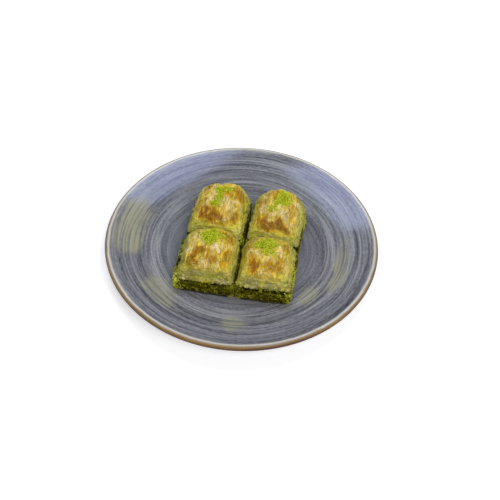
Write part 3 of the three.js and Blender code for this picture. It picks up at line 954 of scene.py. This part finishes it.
def make_top(piece, sizes, material):
    """The crinkled upper pastry of one piece."""
    points, sheet, level, side, faces = pastry_grid(piece)
    top = new_object(f"{piece.name}_leaves", points * MM, faces, material)
    facing = read(top.data.vertex_normals, "vector")
    u, v = sheet.T
    x, y, z = points.T
    seed = piece.seed

    def wave(across, away, shift, warp=0.0, slide=0.0):
        """Noise on the spread-out sheet, by its two wavelengths."""
        return noise(u / across + warp, v / away + slide, 0, seed + shift)

    ragged = 0.2 * wave(4.5, 6, 10) + 0.14 * wave(1.3, 3.5, 16)
    wall = side * (level < 1)
    crown = ease(0.42 + 0.26 * wall, 0.82 + 0.14 * wall, level + ragged * (1 - 0.4 * wall))
    edge = ease(0.88, 0.97, level) * ease(0.3, 0.75, side) * (1 + 0.8 * noise(v / 2.6, u / 6, 0, seed + 21))
    folds = top_relief(piece, u, v)
    upper = level + 0.16 * wave(3, 3, 22) > 0.55
    patterns = [shards(u, v, across, away, seed + turn) for across, away, turn in SHARD_SIZES]
    facets, facet, groove = (
        np.where(upper, top_part, np.where(side > 0.5, side_part, front_part))
        for top_part, side_part, front_part in zip(*patterns)
    )
    cut = cut_relief(piece, points, sizes.leaf_pitch / MM, sizes.leaf_depth / MM)
    lumps = 0.3 * noise(x / 5, y / 5, z / 5, seed + 11)
    along = np.where(side > 0.5, v, u)
    wander = 1.2 * noise(along / 5, z / 6, 0, seed + 29)
    strands = 0.2 * ridges((along + wander) / 1.9, z / 6, 0, seed + 12) * ease(0.3, 0.7, level)
    relief = crown * folds * sizes.crinkle_depth / MM + (1 - crown) * (cut + strands + lumps)
    relief = relief + 0.3 * edge + facets
    relief[level <= 0] = (cut + lumps)[level <= 0]
    hanging = 0.75 + 0.5 * wave(3, 3, 17) + 0.3 * wave(0.9, 0.9, 18)
    toward = [-facing[:, 0], facing[:, 0], -facing[:, 1], facing[:, 1]]
    hanging *= sum(reach * np.clip(way, 0, 1) for reach, way in zip(piece.overhang, toward))
    relief += ease(0.2, 0.0, level) * hanging * sizes.foot_flare / MM
    flat = facing.copy()
    flat[level <= 0, 2] = 0
    moved = points + flat * relief[:, None]
    moved[:, 2] = np.maximum(moved[:, 2], -FOOT_DROP) - ease(0.14, 0.0, level) * 0.8 * hanging
    moved[-1] = points[-1]
    local = turned(moved, math.radians(piece.turn)) + [*piece.pastry_at, PASTRY_FOOT]
    move_points(top, in_block(piece, local) * MM)

    # Baked, browned and dry places, and painted highlights on the syrup
    sway = 0.6 * wave(4, 4, 71)
    slant = sway + 1.5 * wave(8, 7, 83)
    rough = 0.34 * wave(2.2, 3.8, 13) + 0.14 * wave(1.0, 2.8, 78, slant)
    browned = cover(piece.browned, u, v, -0.4, 0.45, rough)
    lifted = cover(piece.lifted, u, v, -0.35, 0.45, rough)
    reach = np.hypot(u / GOLDEN_REACH[0], (v - GOLDEN_MIDDLE) / GOLDEN_REACH[1])
    golden = ease(1.3, 0.65, reach + 0.35 * rough + 0.15 * wave(4, 6, 74))
    # The lifted spots are partly dry pale leaves and partly painted highlights; the threads, streaks and glints
    # below paint highlights in cream
    threads = 0.7 * wave(1.15, 4, 79, slant) + 0.3 * wave(2.6, 1.1, 80)
    lifted = np.minimum(1, 1.2 * lifted) * (0.2 + 0.8 * ease(-0.4, 0.2, threads))
    rim = 0.34 * (1 - side) * ease(0.3, 0.12, level) * ease(-0.1, 0.4, wave(3.0, 1.6, 84)) * ease(0, -5, v)
    glint = 0.6 * ease(0.3, 0.5, wave(1.6, 3.4, 85, 0.5 * slant)) * golden * (1 - 0.85 * browned)
    highlight_streaks = 0.5 * golden * ease(0.1, 0.55, threads)
    lifted = np.maximum(np.maximum(lifted, rim), highlight_streaks) * (1 - 0.55 * browned)

    # Tone of the leaves, along the top and in layers at the front
    streaks = 0.6 * wave(1.0, 4.0, 70, slant) + 0.5 * wave(2.0, 6, 72, slant / 2)
    layered = 0.8 * wave(8, 1.05, 75, slide=1.5 * sway) + 0.5 * wave(4, 0.6, 76, slide=sway)
    low = (1 - side) * ease(0.62, 0.36, level + 0.2 * wave(6, 9, 77))
    streaks = streaks * (1 - low) + layered * low + 0.15 * wave(1.1, 1.1, 73)
    tone = 0.5 + 0.5 * streaks * (1 + 0.5 * low) + 0.25 * (facet - 0.5)
    faded = ease(0.6, 0.2, level) * (1 - 0.5 * side) * ease(-0.5, 0.3, wave(5, 4, 81))

    # Creases, gaps and the foot of the pastry, darkened with painted shade
    foot = ease(0.24, 0.02, level) * ease(0.0, 0.35, noise(along / 2.0, z, 0, seed + 31))
    split = ease(0.2, 0.45, noise(along / 6, z / 0.9 + wander, 0, seed + 32)) * (1 - golden)
    hair = ease(0.14, 0.03, np.abs(wave(2.2, 8, 82, sway))) * golden * ease(-3, -9, v)
    crisp = ease(0.12, 0.03, np.abs(wave(2.4, 7, 86, 0.4 * slant))) * golden * ease(5, -1, v)
    crack = [groove * (0.3 + 0.7 * (level > 0.6)), 0.8 * hair, 0.64 * crisp, foot, 0.7 * split]

    # Places for what lies on the leaves
    ragged = 0.4 * wave(1.8, 1.8, 15) + 0.3 * wave(0.7, 0.7, 33)
    stray = 0.06 * cover(piece.clumps, u, v, -0.7, 0.1, ragged)
    clump = np.maximum(cover(piece.clumps, u, v, -0.05, 0.45, ragged), stray)
    outward = np.clip(-facing[:, 1] + np.abs(facing[:, 0]), 0, 1)
    keep(
        top, golden=np.maximum(golden, 0.8 * browned), browned=browned, faded=0.85 * faded,
        lifted=np.maximum(lifted, glint * ease(7, 2, v) * ease(-14, -8, v)),
        # Tone carries painted light and shade on the lower front walls
        tone=tone + piece.painted_wall_light * ease(0.75, 0.45, level) * (1 - side),
        relief=folds * crown + (1 - crown) * cut / (sizes.leaf_depth / MM), crack=np.max(crack, 0),
        scatter=clump * (facing[:, 2] > 0.2),
        flakes=FLAKE_SHARE * ease(0.0, 0.05, level) * ease(0.5, 0.1, level) * outward,
    )
    return top


def leaf_material(sizes, dust_tint):
    """Soaked leaves: pale at the cuts, golden and browned on top, wet with syrup, dusted with nuts, with painted
    highlights on the top and painted shade in the creases.
    """
    material, writer, place = new_material("baked leaves")
    golden, browned, lifted, faded, relief, tone, crack, dust = map(
        writer.kept, ("golden", "browned", "lifted", "faded", "relief", "tone", "crack", "scatter"),
    )
    cloud, grit, broad = place.noise(300.0, 3.0, 0.6), place.noise(900.0, 3.0, 0.65), place.noise(120.0)
    layers = (place * (0.12, 0.12, 1.0)).noise(800.0)
    gold, pale = Vector(sizes.golden), Vector(sizes.pale)
    bake = browned * 0.9 + broad.band(0.3, 0.7, 0.0, 0.2)
    top = bake.ramp((0.0, 1.12 * gold), (0.2, gold), (0.55, sizes.amber), (0.95, sizes.brown))
    side = tone.varied(layers, 0.22).varied(broad, 0.3)
    side = side.ramp((0.0, 0.5 * pale), (0.45, 0.97 * pale), (1.0, 1.35 * pale))
    shade = tone.band(0.1, 0.9, 0.7, 1.27) + cloud.band(0.3, 0.7, -0.08, 0.08)
    dull = writer.scaled(sizes.faded, tone.band(0.0, 1.0, 0.62, 1.25))
    tint = side.under(dull, faded).under(top * shade, golden)
    # Crests of the relief are painted cream as highlights
    crest = relief.band(0.2, 0.7, 0.0, 0.35) * browned.band(0.2, 0.8, 1.0, 0.2)
    dry_and_highlight = lifted.varied(grit, 0.06).plus(crest)
    tint = tint.under(sizes.cream_and_highlight, dry_and_highlight.band(0.05, 1.0, 0.0, 0.9))
    # Painted shade in creases, gaps, low relief and at the foot
    shaded_depth = (crack * 0.6).math("MAXIMUM", relief.band(-0.3, -1.1, 0.0, 0.5))
    tint = tint.under(sizes.crease_shade, shaded_depth * grit.band(0.3, 0.6, 0.4, 1.0))
    tint = tint.under(dust_tint, dust.band(0.02, 0.6, 0.0, 0.8))
    finish_material(
        writer, grit + cloud * 0.6, 0.0001, Base_Color=tint, Roughness=0.5, IOR=1.45,
        Specular_IOR_Level=0.1, Coat_Weight=0.45, Coat_Roughness=0.12, Subsurface_Weight=0.1,
        Subsurface_Radius=(1.0, 0.55, 0.2), Subsurface_Scale=0.0012,
    )
    return material


# Filling and base

RIM_CELLS = 116
FILLING_RINGS = 24
LEDGE_RINGS = 9
LEDGE_WIDTH = 6.0
LEDGE_FALL = 1.7
LEDGE_CURVE = 2.5
CLOD = (3.0, 3.0, 1.9)
SEAM_REACH = 4.0
SEAM_FRONT = (-40, -43)
SEAM_NUTS = 6.0
SEAM_SWELL = 0.9
SIDE_WIDTH = 4.5
BASE_CLOD = (3.4, 3.4, 0.8)
BASE_RINGS = 9
BASE_LEAF = 0.62


def layer_form(piece, levels, inset):
    """Points and faces of a layer, with the height and the inset of each ring."""
    unit = np.linspace(-1, 1, RIM_CELLS + 1)
    a, b = unit[rim_steps(RIM_CELLS)].T
    u, v = round_corners(a, b, CORNER_POWER)
    width, length = piece.size
    return close_stack([
        np.stack([u * (width / 2 - step), v * (length / 2 - step), 0 * u + height], -1)
        for height, step in zip(levels, inset)
    ], False)


def front_seam(piece, points):
    """1 where two pieces meet at the front of the block, 0 a few millimetres away."""
    local = turned(in_block(piece, points) - [*BLOCK_MIDDLE, 0], -BLOCK_TURN)
    return ease(SEAM_REACH, 0.5 * SEAM_REACH, np.abs(local[:, 0])) * ease(*SEAM_FRONT, local[:, 1])


def make_filling(piece, material):
    """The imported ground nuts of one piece, with a crumbly ledge and sides."""
    ledge = list(np.linspace(LEDGE_WIDTH, 0, LEDGE_RINGS, endpoint=False))
    levels = [FILLING_TOP - LEDGE_FALL * (1 - inset / LEDGE_WIDTH) ** LEDGE_CURVE for inset in ledge]
    levels += list(np.linspace(FILLING_TOP - LEDGE_FALL, FILLING_FOOT - TOUCH_GAP, FILLING_RINGS))
    points, faces = layer_form(piece, levels, ledge + [0.0] * FILLING_RINGS)
    filling = new_object(f"{piece.name}_nuts", points * MM, faces, material)
    facing = read(filling.data.vertex_normals, "vector")
    up = facing[:, 2]
    x, y, z = points.T
    seed = piece.seed + 20
    near, edge, own, _ = cells(points / CLOD, seed)
    small, _, small_own, _ = cells(points / CLOD * 2.3, seed + 10)
    relief = 1.1 * (0.45 - near) + 1.3 * (own - 0.6) - 0.4 * ease(0.15, 0, edge) + 0.6 * (0.4 - small)
    relief = relief - 0.9 * ease(0.2, 0.6, noise(x / 4, y / 4, z / 1.6, seed + 3))
    relief += 0.3 * noise(x / 6, y / 6, z / 4, seed + 2)
    relief[up < -0.3] = 0
    relief = np.where(up > 0.9, np.minimum(relief, 0.1), relief)
    seam = front_seam(piece, points)
    relief = np.where(up < 0.9, np.maximum(relief, SEAM_SWELL * seam), relief)
    relief[-2:] = 0
    move_points(filling, in_block(piece, points + facing * relief[:, None]) * MM)
    middle = np.hypot(*(in_block(piece, points)[:, :2] - BLOCK_MIDDLE).T)
    inner = np.minimum(1, 0.25 + ease(2.0, 9.0, middle - 8))
    sides = (up > -0.4) & (np.arange(len(points)) < len(points) - 2)
    sides &= (np.abs(x) > piece.size[0] / 2 - SIDE_WIDTH) | (np.abs(y) > piece.size[1] / 2 - SIDE_WIDTH)
    keep(
        # Low relief is kept as painted shade
        filling, hollow=ease(0.1, -0.9, relief), scatter=sides * (inner + SEAM_NUTS * seam),
        clod=np.clip(0.6 * own + 0.4 * small_own + 0.25 * (relief > 0), 0, 1),
        green=sides * cover(piece.spilt, x, y, 0, 0.5), flakes=sides * cover(piece.torn, x, y, 0, 0.6),
    )
    return filling


def make_base(piece, material):
    """The thin leaves under the filling, settled to the curve of the plate."""
    top = BASE_FOOT + BASE_THICKNESS
    levels = [top, *np.linspace(top, BASE_FOOT, BASE_RINGS)]
    points, faces = layer_form(piece, levels, [4.0] + [BASE_INSET] * BASE_RINGS)
    settled = well_height(np.hypot(*in_block(piece, points)[:, :2].T)) - WELL_HEIGHT
    share_down = np.clip((top - points[:, 2]) / BASE_THICKNESS, 0, 1)
    base = new_object(f"{piece.name}_bottom_leaves", points * MM, faces, material)
    x, y, z = points.T
    seed = piece.seed + 30
    height = (z + 0.3 * noise(x / 7, y / 7, 0, seed)) / BASE_LEAF
    leaf = np.floor(height)
    rounded = np.sin(math.pi * (height - leaf))
    relief = 0.2 * rounded + 0.4 * noise(leaf * 4.1, x / 6, y / 6, seed + 1)
    own = cells(points / BASE_CLOD, seed + 4)[2]
    relief += 0.5 * noise(x / 4, y / 4, 0, seed + 2) + 0.7 * (own - 0.6)
    relief = np.maximum(relief, (SEAM_SWELL + BASE_INSET) * front_seam(piece, points))
    flat = read(base.data.vertex_normals, "vector") * [1, 1, 0]
    placed = in_block(piece, points + flat * relief[:, None])
    placed[:, 2] += settled * share_down - TOUCH_GAP * 0.8 * (share_down > 0.99)
    move_points(base, placed * MM)
    # Painted light and shade: the bottom leaves are lighter at the corners, darker elsewhere and between leaves
    corner = np.minimum(np.abs(x) / piece.size[0], np.abs(y) / piece.size[1]) * 2
    keep(base, leaf=np.clip(0.3 * rounded + 0.5 * own + ease(0.75, 0.97, corner) - 0.25, 0, 1))
    return base


def nut_material(name, dark, light, coat):
    """Broken nuts, each with a tint of its own."""
    return mottled(
        name, "tint", (1400.0, 2.0), 0.18, ((0.0, dark), (1.0, light)), 0.0001,
        Roughness=0.55, Specular_IOR_Level=0.1, Coat_Weight=coat, Coat_Roughness=0.25,
    )


# Scattered pieces

SHAPES = 5
FLAKE_TILT = 0.5
FLAKE_CORNERS = 6
FLAKE_DEPTH = 0.16
DENTING = 0.55
STRETCH = ((0.7, 0.55, 0.45), (1.5, 1.15, 0.9))
SIZE_SPREAD = (0.55, 1.25)
FULL_TURNS = (math.tau, math.tau, math.tau)
SEEDS = {"filling_nuts": 400, "ground_pistachio": 900, "torn_leaves": 1300, "loose_crumbs": 1700}
SEED_STEP = 31
SCATTER_INPUTS = {"Radius": "Float", "Density": "Float", "Pile": "Float", "Seed": "Int", "Where": "String"}
RANDOM_INPUTS = {"FLOAT_VECTOR": 0, "FLOAT": 2, "INT": 4}


def scatter_tree(name, material, flat=False):
    """Geometry nodes that lay broken nuts, or flat flakes, on the places that the mesh keeps for them."""
    tree, writer, given = new_tree(name, SCATTER_INPUTS)

    def random(shift, low, high, kind="FLOAT"):
        """A random value for each bit."""
        first = RANDOM_INPUTS[kind]
        values = {first: low, first + 1: high, "Seed": given["Seed"] + float(shift)}
        return writer.get("FunctionNodeRandomValue", values, first // 2, data_type=kind)

    wanted = writer.get("GeometryNodeInputNamedAttribute", {"Name": given["Where"]}, data_type="FLOAT")
    spread = writer.add("GeometryNodeDistributePointsOnFaces", {
        "Mesh": given["Geometry"], "Density": wanted * given["Density"], "Seed": given["Seed"],
    })
    points, upright, lying = (
        Wire(writer, spread.outputs[label]) for label in ("Points", "Normal", "Rotation")
    )
    height = random(1, 0.0, 1.0) * given["Pile"] * wanted.math("POWER", 1.5)
    raised = writer.get("GeometryNodeSetPosition", {"Geometry": points, "Offset": upright * height})
    shapes = writer.add("GeometryNodeJoinGeometry")
    for shape in range(SHAPES):
        if flat:
            chip = {"Vertices": FLAKE_CORNERS + shape, "Radius": 1.0, "Depth": FLAKE_DEPTH}
            ball = writer.get("GeometryNodeMeshCylinder", chip)
        else:
            ball = writer.get("GeometryNodeMeshIcoSphere", {"Radius": 1.0, "Subdivisions": 1})
        place = writer.get("GeometryNodeInputPosition")
        bumps = (place * 0.9 + (shape * 7.3, 1.7, 2.9)).noise(1.0, 1.0)
        push = bumps.band(0.25, 0.75, -DENTING, DENTING)
        chunk = writer.get("GeometryNodeSetPosition", {"Geometry": ball, "Offset": place * push})
        single = writer.get("GeometryNodeGeometryToInstance", {0: chunk})
        writer.tree.links.new(single.socket, shapes.inputs[0])
    if flat:
        most = (FLAKE_TILT, FLAKE_TILT, math.tau)
        tilt = random(3, (-FLAKE_TILT, -FLAKE_TILT, 0), most, "FLOAT_VECTOR")
        values = {"Rotation": lying, "Rotate By": writer.get("FunctionNodeEulerToRotation", {0: tilt})}
        turn = writer.get("FunctionNodeRotateRotation", values, rotation_space="LOCAL")
    else:
        turn = random(3, (0, 0, 0), FULL_TURNS, "FLOAT_VECTOR")
    size = random(5, *SIZE_SPREAD) * given["Radius"]
    laid = writer.get("GeometryNodeInstanceOnPoints", {
        "Points": raised, "Instance": Wire(writer, shapes.outputs[0]), "Pick Instance": True,
        "Instance Index": random(2, 0, SHAPES - 1, "INT"), "Rotation": turn,
        "Scale": random(4, *STRETCH, "FLOAT_VECTOR") * size,
    })
    tinted = writer.get("GeometryNodeStoreNamedAttribute", {
        "Geometry": laid, "Name": "tint", "Value": random(6, 0.0, 1.0),
    }, data_type="FLOAT", domain="INSTANCE")
    finish_tree(writer, tinted, material)
    return tree


def scatter(name, material, places, radius, density, pile=0.0, flat=False):
    """One piece of scattered bits over several surfaces, each given with where they lie on it."""
    tree = scatter_tree(name, material, flat)
    values = {"Radius": radius, "Density": density / MM ** 2, "Pile": pile}
    parts = []
    for number, (surface, where) in enumerate(places):
        bits = bpy.data.objects.new(f"{name}_{number}", bpy.data.objects[surface].data.copy())
        bpy.context.scene.collection.objects.link(bits)
        run_tree(bits, tree, {**values, "Seed": SEEDS[name] + SEED_STEP * number, "Where": where})
        parts.append(bits)
    joined = parts[0]
    joined.name = name
    with bpy.context.temp_override(
        active_object=joined, object=joined, selected_objects=parts, selected_editable_objects=parts,
    ):
        bpy.ops.object.join()
    joined.data.name = name
    joined.data.polygons.foreach_set("use_smooth", [False] * len(joined.data.polygons))
    return joined


def each(part):
    """The name of a part of every piece."""
    return [f"{piece.name}_{part}" for piece in PIECES]


# Studio

CAMERA_RISE = math.radians(47.72)
CAMERA_ROLL = math.radians(2.33)
CAMERA_DISTANCE = 1.0
CAMERA_AIM = (6.25, -7.44, 17.0)
SENSOR_WIDTH = 36
FLOOR_REACH = 20.0
SOFTBOX_HEIGHT = 1.0
SOFTBOXES = {
    "left_softbox": ((-0.60, 0.46), (-0.08, 0.47), (-0.20, 0.82), (-0.62, 0.81)),
    "right_softbox": ((0.0, 0.40), (0.48, 0.39), (0.52, 0.68), (0.16, 0.70)),
}
SOFTBOX_TINTS = ((0.76, 0.84, 1.0), (0.86, 0.92, 1.0))
ROOM_TINT = (0.97, 0.985, 1.0)
FRONT_LIGHT = (0.4, -0.9, 0.95)
FRONT_LIGHT_SIZE = 0.8


def make_floor(sizes):
    """The pale table top."""
    material, writer, place = new_material("pale table")
    pale = Vector(sizes.floor)
    tint = place.noise(3.0).ramp((0.0, 0.985 * pale), (1.0, pale))
    glow = {"Emission_Color": sizes.floor, "Emission_Strength": sizes.floor_glow}
    finish_material(writer, Base_Color=tint, Roughness=0.6, **glow)
    corners = [(x * FLOOR_REACH, y * FLOOR_REACH, 0) for x, y in ((-1, -1), (1, -1), (1, 1), (-1, 1))]
    new_object("table_top", corners, [(0, 1, 2, 3)], material)


def make_softbox(name, corners, brightness):
    """A glowing face that looks down, given by its corners seen from above."""
    material, writer, place = new_material("glowing cloth")
    weave = place.noise(4.0).ramp(*zip((0.0, 1.0), SOFTBOX_TINTS))
    finish_material(writer, Emission_Color=weave, Emission_Strength=brightness, Roughness=1.0)
    points = [(x, y, SOFTBOX_HEIGHT) for x, y in corners]
    new_object(name, points, [(3, 2, 1, 0)], material)


def make_front_light(brightness):
    """A soft light before and above the plate."""
    light = bpy.data.lights.new("front light", "AREA")
    light.size = FRONT_LIGHT_SIZE
    light.energy = brightness * math.pi * FRONT_LIGHT_SIZE ** 2
    lamp = bpy.data.objects.new("front light", light)
    lamp.location = FRONT_LIGHT
    lamp.rotation_euler = (-Vector(FRONT_LIGHT)).to_track_quat("-Z", "Y").to_euler()
    bpy.context.scene.collection.objects.link(lamp)


def make_camera(sizes):
    """The camera at the photograph's viewing angle."""
    cosine, sine = math.cos(CAMERA_RISE), math.sin(CAMERA_RISE)
    ahead, up, right = Vector((0, cosine, -sine)), Vector((0, sine, cosine)), Vector((1, 0, 0))
    rolled = Matrix.Rotation(-CAMERA_ROLL, 3, ahead)
    right, up = rolled @ right, rolled @ up
    data = bpy.data.cameras.new("camera")
    data.lens = sizes.camera_lens / MM
    data.sensor_width = SENSOR_WIDTH
    camera = bpy.data.objects.new("camera", data)
    slide_x, slide_y, height = (value * MM for value in CAMERA_AIM)
    place = Vector((0, 0, height)) - ahead * CAMERA_DISTANCE + right * slide_x + up * slide_y
    turn = Matrix((right, up, -ahead)).transposed().to_4x4()
    camera.matrix_world = Matrix.Translation(place) @ turn
    bpy.context.scene.collection.objects.link(camera)
    bpy.context.scene.camera = camera


def make_room(sizes):
    """Even light from all round, and plain colours on the screen."""
    scene = bpy.context.scene
    world = bpy.data.worlds.new("white room")
    world.use_nodes = True
    background = world.node_tree.nodes["Background"]
    background.inputs["Color"].default_value = opaque(ROOM_TINT)
    background.inputs["Strength"].default_value = sizes.sky
    scene.world = world
    scene.view_settings.view_transform = "Standard"


# Operators

class MakeStudio(bpy.types.Operator):
    """Make the table, the lights and the camera"""
    bl_idname = "baklava.studio"
    bl_label = "Studio"

    def execute(self, context):
        sizes = settings("baklava_studio")
        make_camera(sizes)
        make_floor(sizes)
        make_room(sizes)
        for name, corners in SOFTBOXES.items():
            make_softbox(name, corners, sizes.softbox)
        make_front_light(sizes.fill)
        return {"FINISHED"}


class MakePlate(bpy.types.Operator):
    """Make the stoneware plate"""
    bl_idname = "baklava.plate"
    bl_label = "Plate"

    def execute(self, context):
        sizes = settings("baklava_plate")
        material = glaze_material(sizes)
        plate = turned_mesh("stoneware_plate", plate_profile(), material)
        paint_plate(plate)
        values = {"Ring pitch": sizes.ring_pitch, "Ring depth": sizes.ring_depth}
        run_tree(plate, ring_tree(material), values)
        hand_over(plate, "glaze", "plate")
        return {"FINISHED"}


class MakeBases(bpy.types.Operator):
    """Make the leaves under the filling"""
    bl_idname = "baklava.bases"
    bl_label = "Bottom leaves"

    def execute(self, context):
        sizes = settings("baklava_filling")
        # The darkest stop is painted shade under the block
        material = mottled(
            "soaked leaves", "leaf", (300.0, 3.0), 0.2,
            ((0.0, sizes.hollow), (0.45, sizes.dark), (1.0, sizes.base)), 0.0002,
            Roughness=0.42, Coat_Weight=0.5, Coat_Roughness=0.2, Subsurface_Weight=0.1,
            Subsurface_Radius=(0.8, 0.7, 0.2), Subsurface_Scale=0.001,
        )
        for piece, node in zip(PIECES, each("base")):
            hand_over(make_base(piece, material), "base", node)
        return {"FINISHED"}


class MakeFillings(bpy.types.Operator):
    """Make the ground nuts of the filling"""
    bl_idname = "baklava.fillings"
    bl_label = "Filling"

    def execute(self, context):
        sizes = settings("baklava_filling")
        dark, hollow = Vector(sizes.dark), Vector(sizes.hollow)
        material = mottled(
            "packed nuts", "clod", (700.0, 4.0, 0.65), 0.25,
            ((0.0, 0.7 * hollow), (0.4, dark), (0.8, 1.6 * dark), (1.0, sizes.light)), 0.0003,
            hollow=0.4 * hollow, Roughness=0.7, Specular_IOR_Level=0.04,
        )
        fillings = [make_filling(piece, material) for piece in PIECES]
        nuts = scatter(
            "filling_nuts", nut_material("filling nuts", sizes.dark, sizes.light, 0.03),
            [(name, "scatter") for name in each("nuts")], sizes.nut_size, sizes.nut_density,
        )
        for filling, node in zip(fillings, each("filling")):
            hand_over(filling, "filling", node)
        hand_over(nuts, "filling", *each("filling"))
        return {"FINISHED"}


class MakeTops(bpy.types.Operator):
    """Make the crinkled upper pastry and the ground pistachio on it"""
    bl_idname = "baklava.tops"
    bl_label = "Upper pastry"

    def execute(self, context):
        sizes, sprinkle = settings("baklava_pastry"), settings("baklava_sprinkle")
        material = leaf_material(sizes, sprinkle.dark)
        tops = [make_top(piece, sizes, material) for piece in PIECES]
        pale = Vector(sizes.pale)
        flake = mottled(
            "torn leaves", "tint", (500.0, 2.0), 0.3,
            ((0.0, 0.7 * pale), (0.6, pale), (1.0, 1.3 * pale)), 0.00006,
            Roughness=0.42, Coat_Weight=0.6, Coat_Roughness=0.2, Subsurface_Weight=0.2,
            Subsurface_Radius=(1.0, 0.6, 0.2), Subsurface_Scale=0.001,
        )
        torn = scatter(
            "torn_leaves", flake, [(name, "flakes") for name in (*each("leaves"), "front_left_nuts")],
            sizes.flake_size, sizes.flake_density, flat=True,
        )
        places = [(name, "scatter") for name in each("leaves")]
        places += [(name, "green") for name in each("nuts")]
        grains = scatter(
            "ground_pistachio", nut_material("ground pistachio", sprinkle.dark, sprinkle.light, 0.0),
            places, sprinkle.grain_size, sprinkle.grain_density, sprinkle.pile,
        )
        for top, node in zip(tops, each("pastry")):
            hand_over(top, "pastry", node)
        hand_over(grains, "filling", *each("pastry"))
        hand_over(torn, "pastry", *each("pastry"))
        return {"FINISHED"}


class MakeCrumbs(bpy.types.Operator):
    """Make the crumbs that lie on the plate"""
    bl_idname = "baklava.crumbs"
    bl_label = "Crumbs"

    def execute(self, context):
        sizes = settings("baklava_sprinkle")
        crumbs = scatter(
            "loose_crumbs", nut_material("crumbs", sizes.crumb, sizes.light, 0.0),
            [("stoneware_plate", "crumbs")], sizes.crumb_size, sizes.crumb_density,
        )
        hand_over(crumbs, "filling")
        return {"FINISHED"}


class MakerPanel(bpy.types.Panel):
    """Lists the steps and their settings"""
    bl_idname = "BAKLAVA_PT_maker"
    bl_label = "Plate of baklava"
    bl_space_type = "VIEW_3D"
    bl_region_type = "UI"
    bl_category = "Baklava"

    def draw(self, context):
        for operator, group in STEPS:
            self.layout.operator(operator.bl_idname)
            for name in settings(group).bl_rna.properties.keys():
                if name not in ("rna_type", "name"):
                    self.layout.prop(settings(group), name)


SETTINGS = {
    "baklava_plate": PlateSettings,
    "baklava_pastry": PastrySettings,
    "baklava_filling": FillingSettings,
    "baklava_sprinkle": SprinkleSettings,
    "baklava_studio": StudioSettings,
}
STEPS = (
    (MakeStudio, "baklava_studio"),
    (MakePlate, "baklava_plate"),
    (MakeBases, "baklava_filling"),
    (MakeFillings, "baklava_filling"),
    (MakeTops, "baklava_pastry"),
    (MakeCrumbs, "baklava_sprinkle"),
)
CLASSES = (*SETTINGS.values(), *(operator for operator, group in STEPS), MakerPanel)


def register():
    """Adds the classes and their settings."""
    for made in CLASSES:
        bpy.utils.register_class(made)
    for name, group in SETTINGS.items():
        setattr(bpy.types.Scene, name, PointerProperty(type=group))


def unregister():
    """Takes the settings and the classes away."""
    for name in SETTINGS:
        delattr(bpy.types.Scene, name)
    for made in reversed(CLASSES):
        bpy.utils.unregister_class(made)


def main():
    """Makes everything."""
    register()
    bpy.ops.baklava.studio()
    bpy.ops.baklava.plate()
    bpy.ops.baklava.bases()
    bpy.ops.baklava.fillings()
    bpy.ops.baklava.tops()
    bpy.ops.baklava.crumbs()


if __name__ == "__main__":
    main()
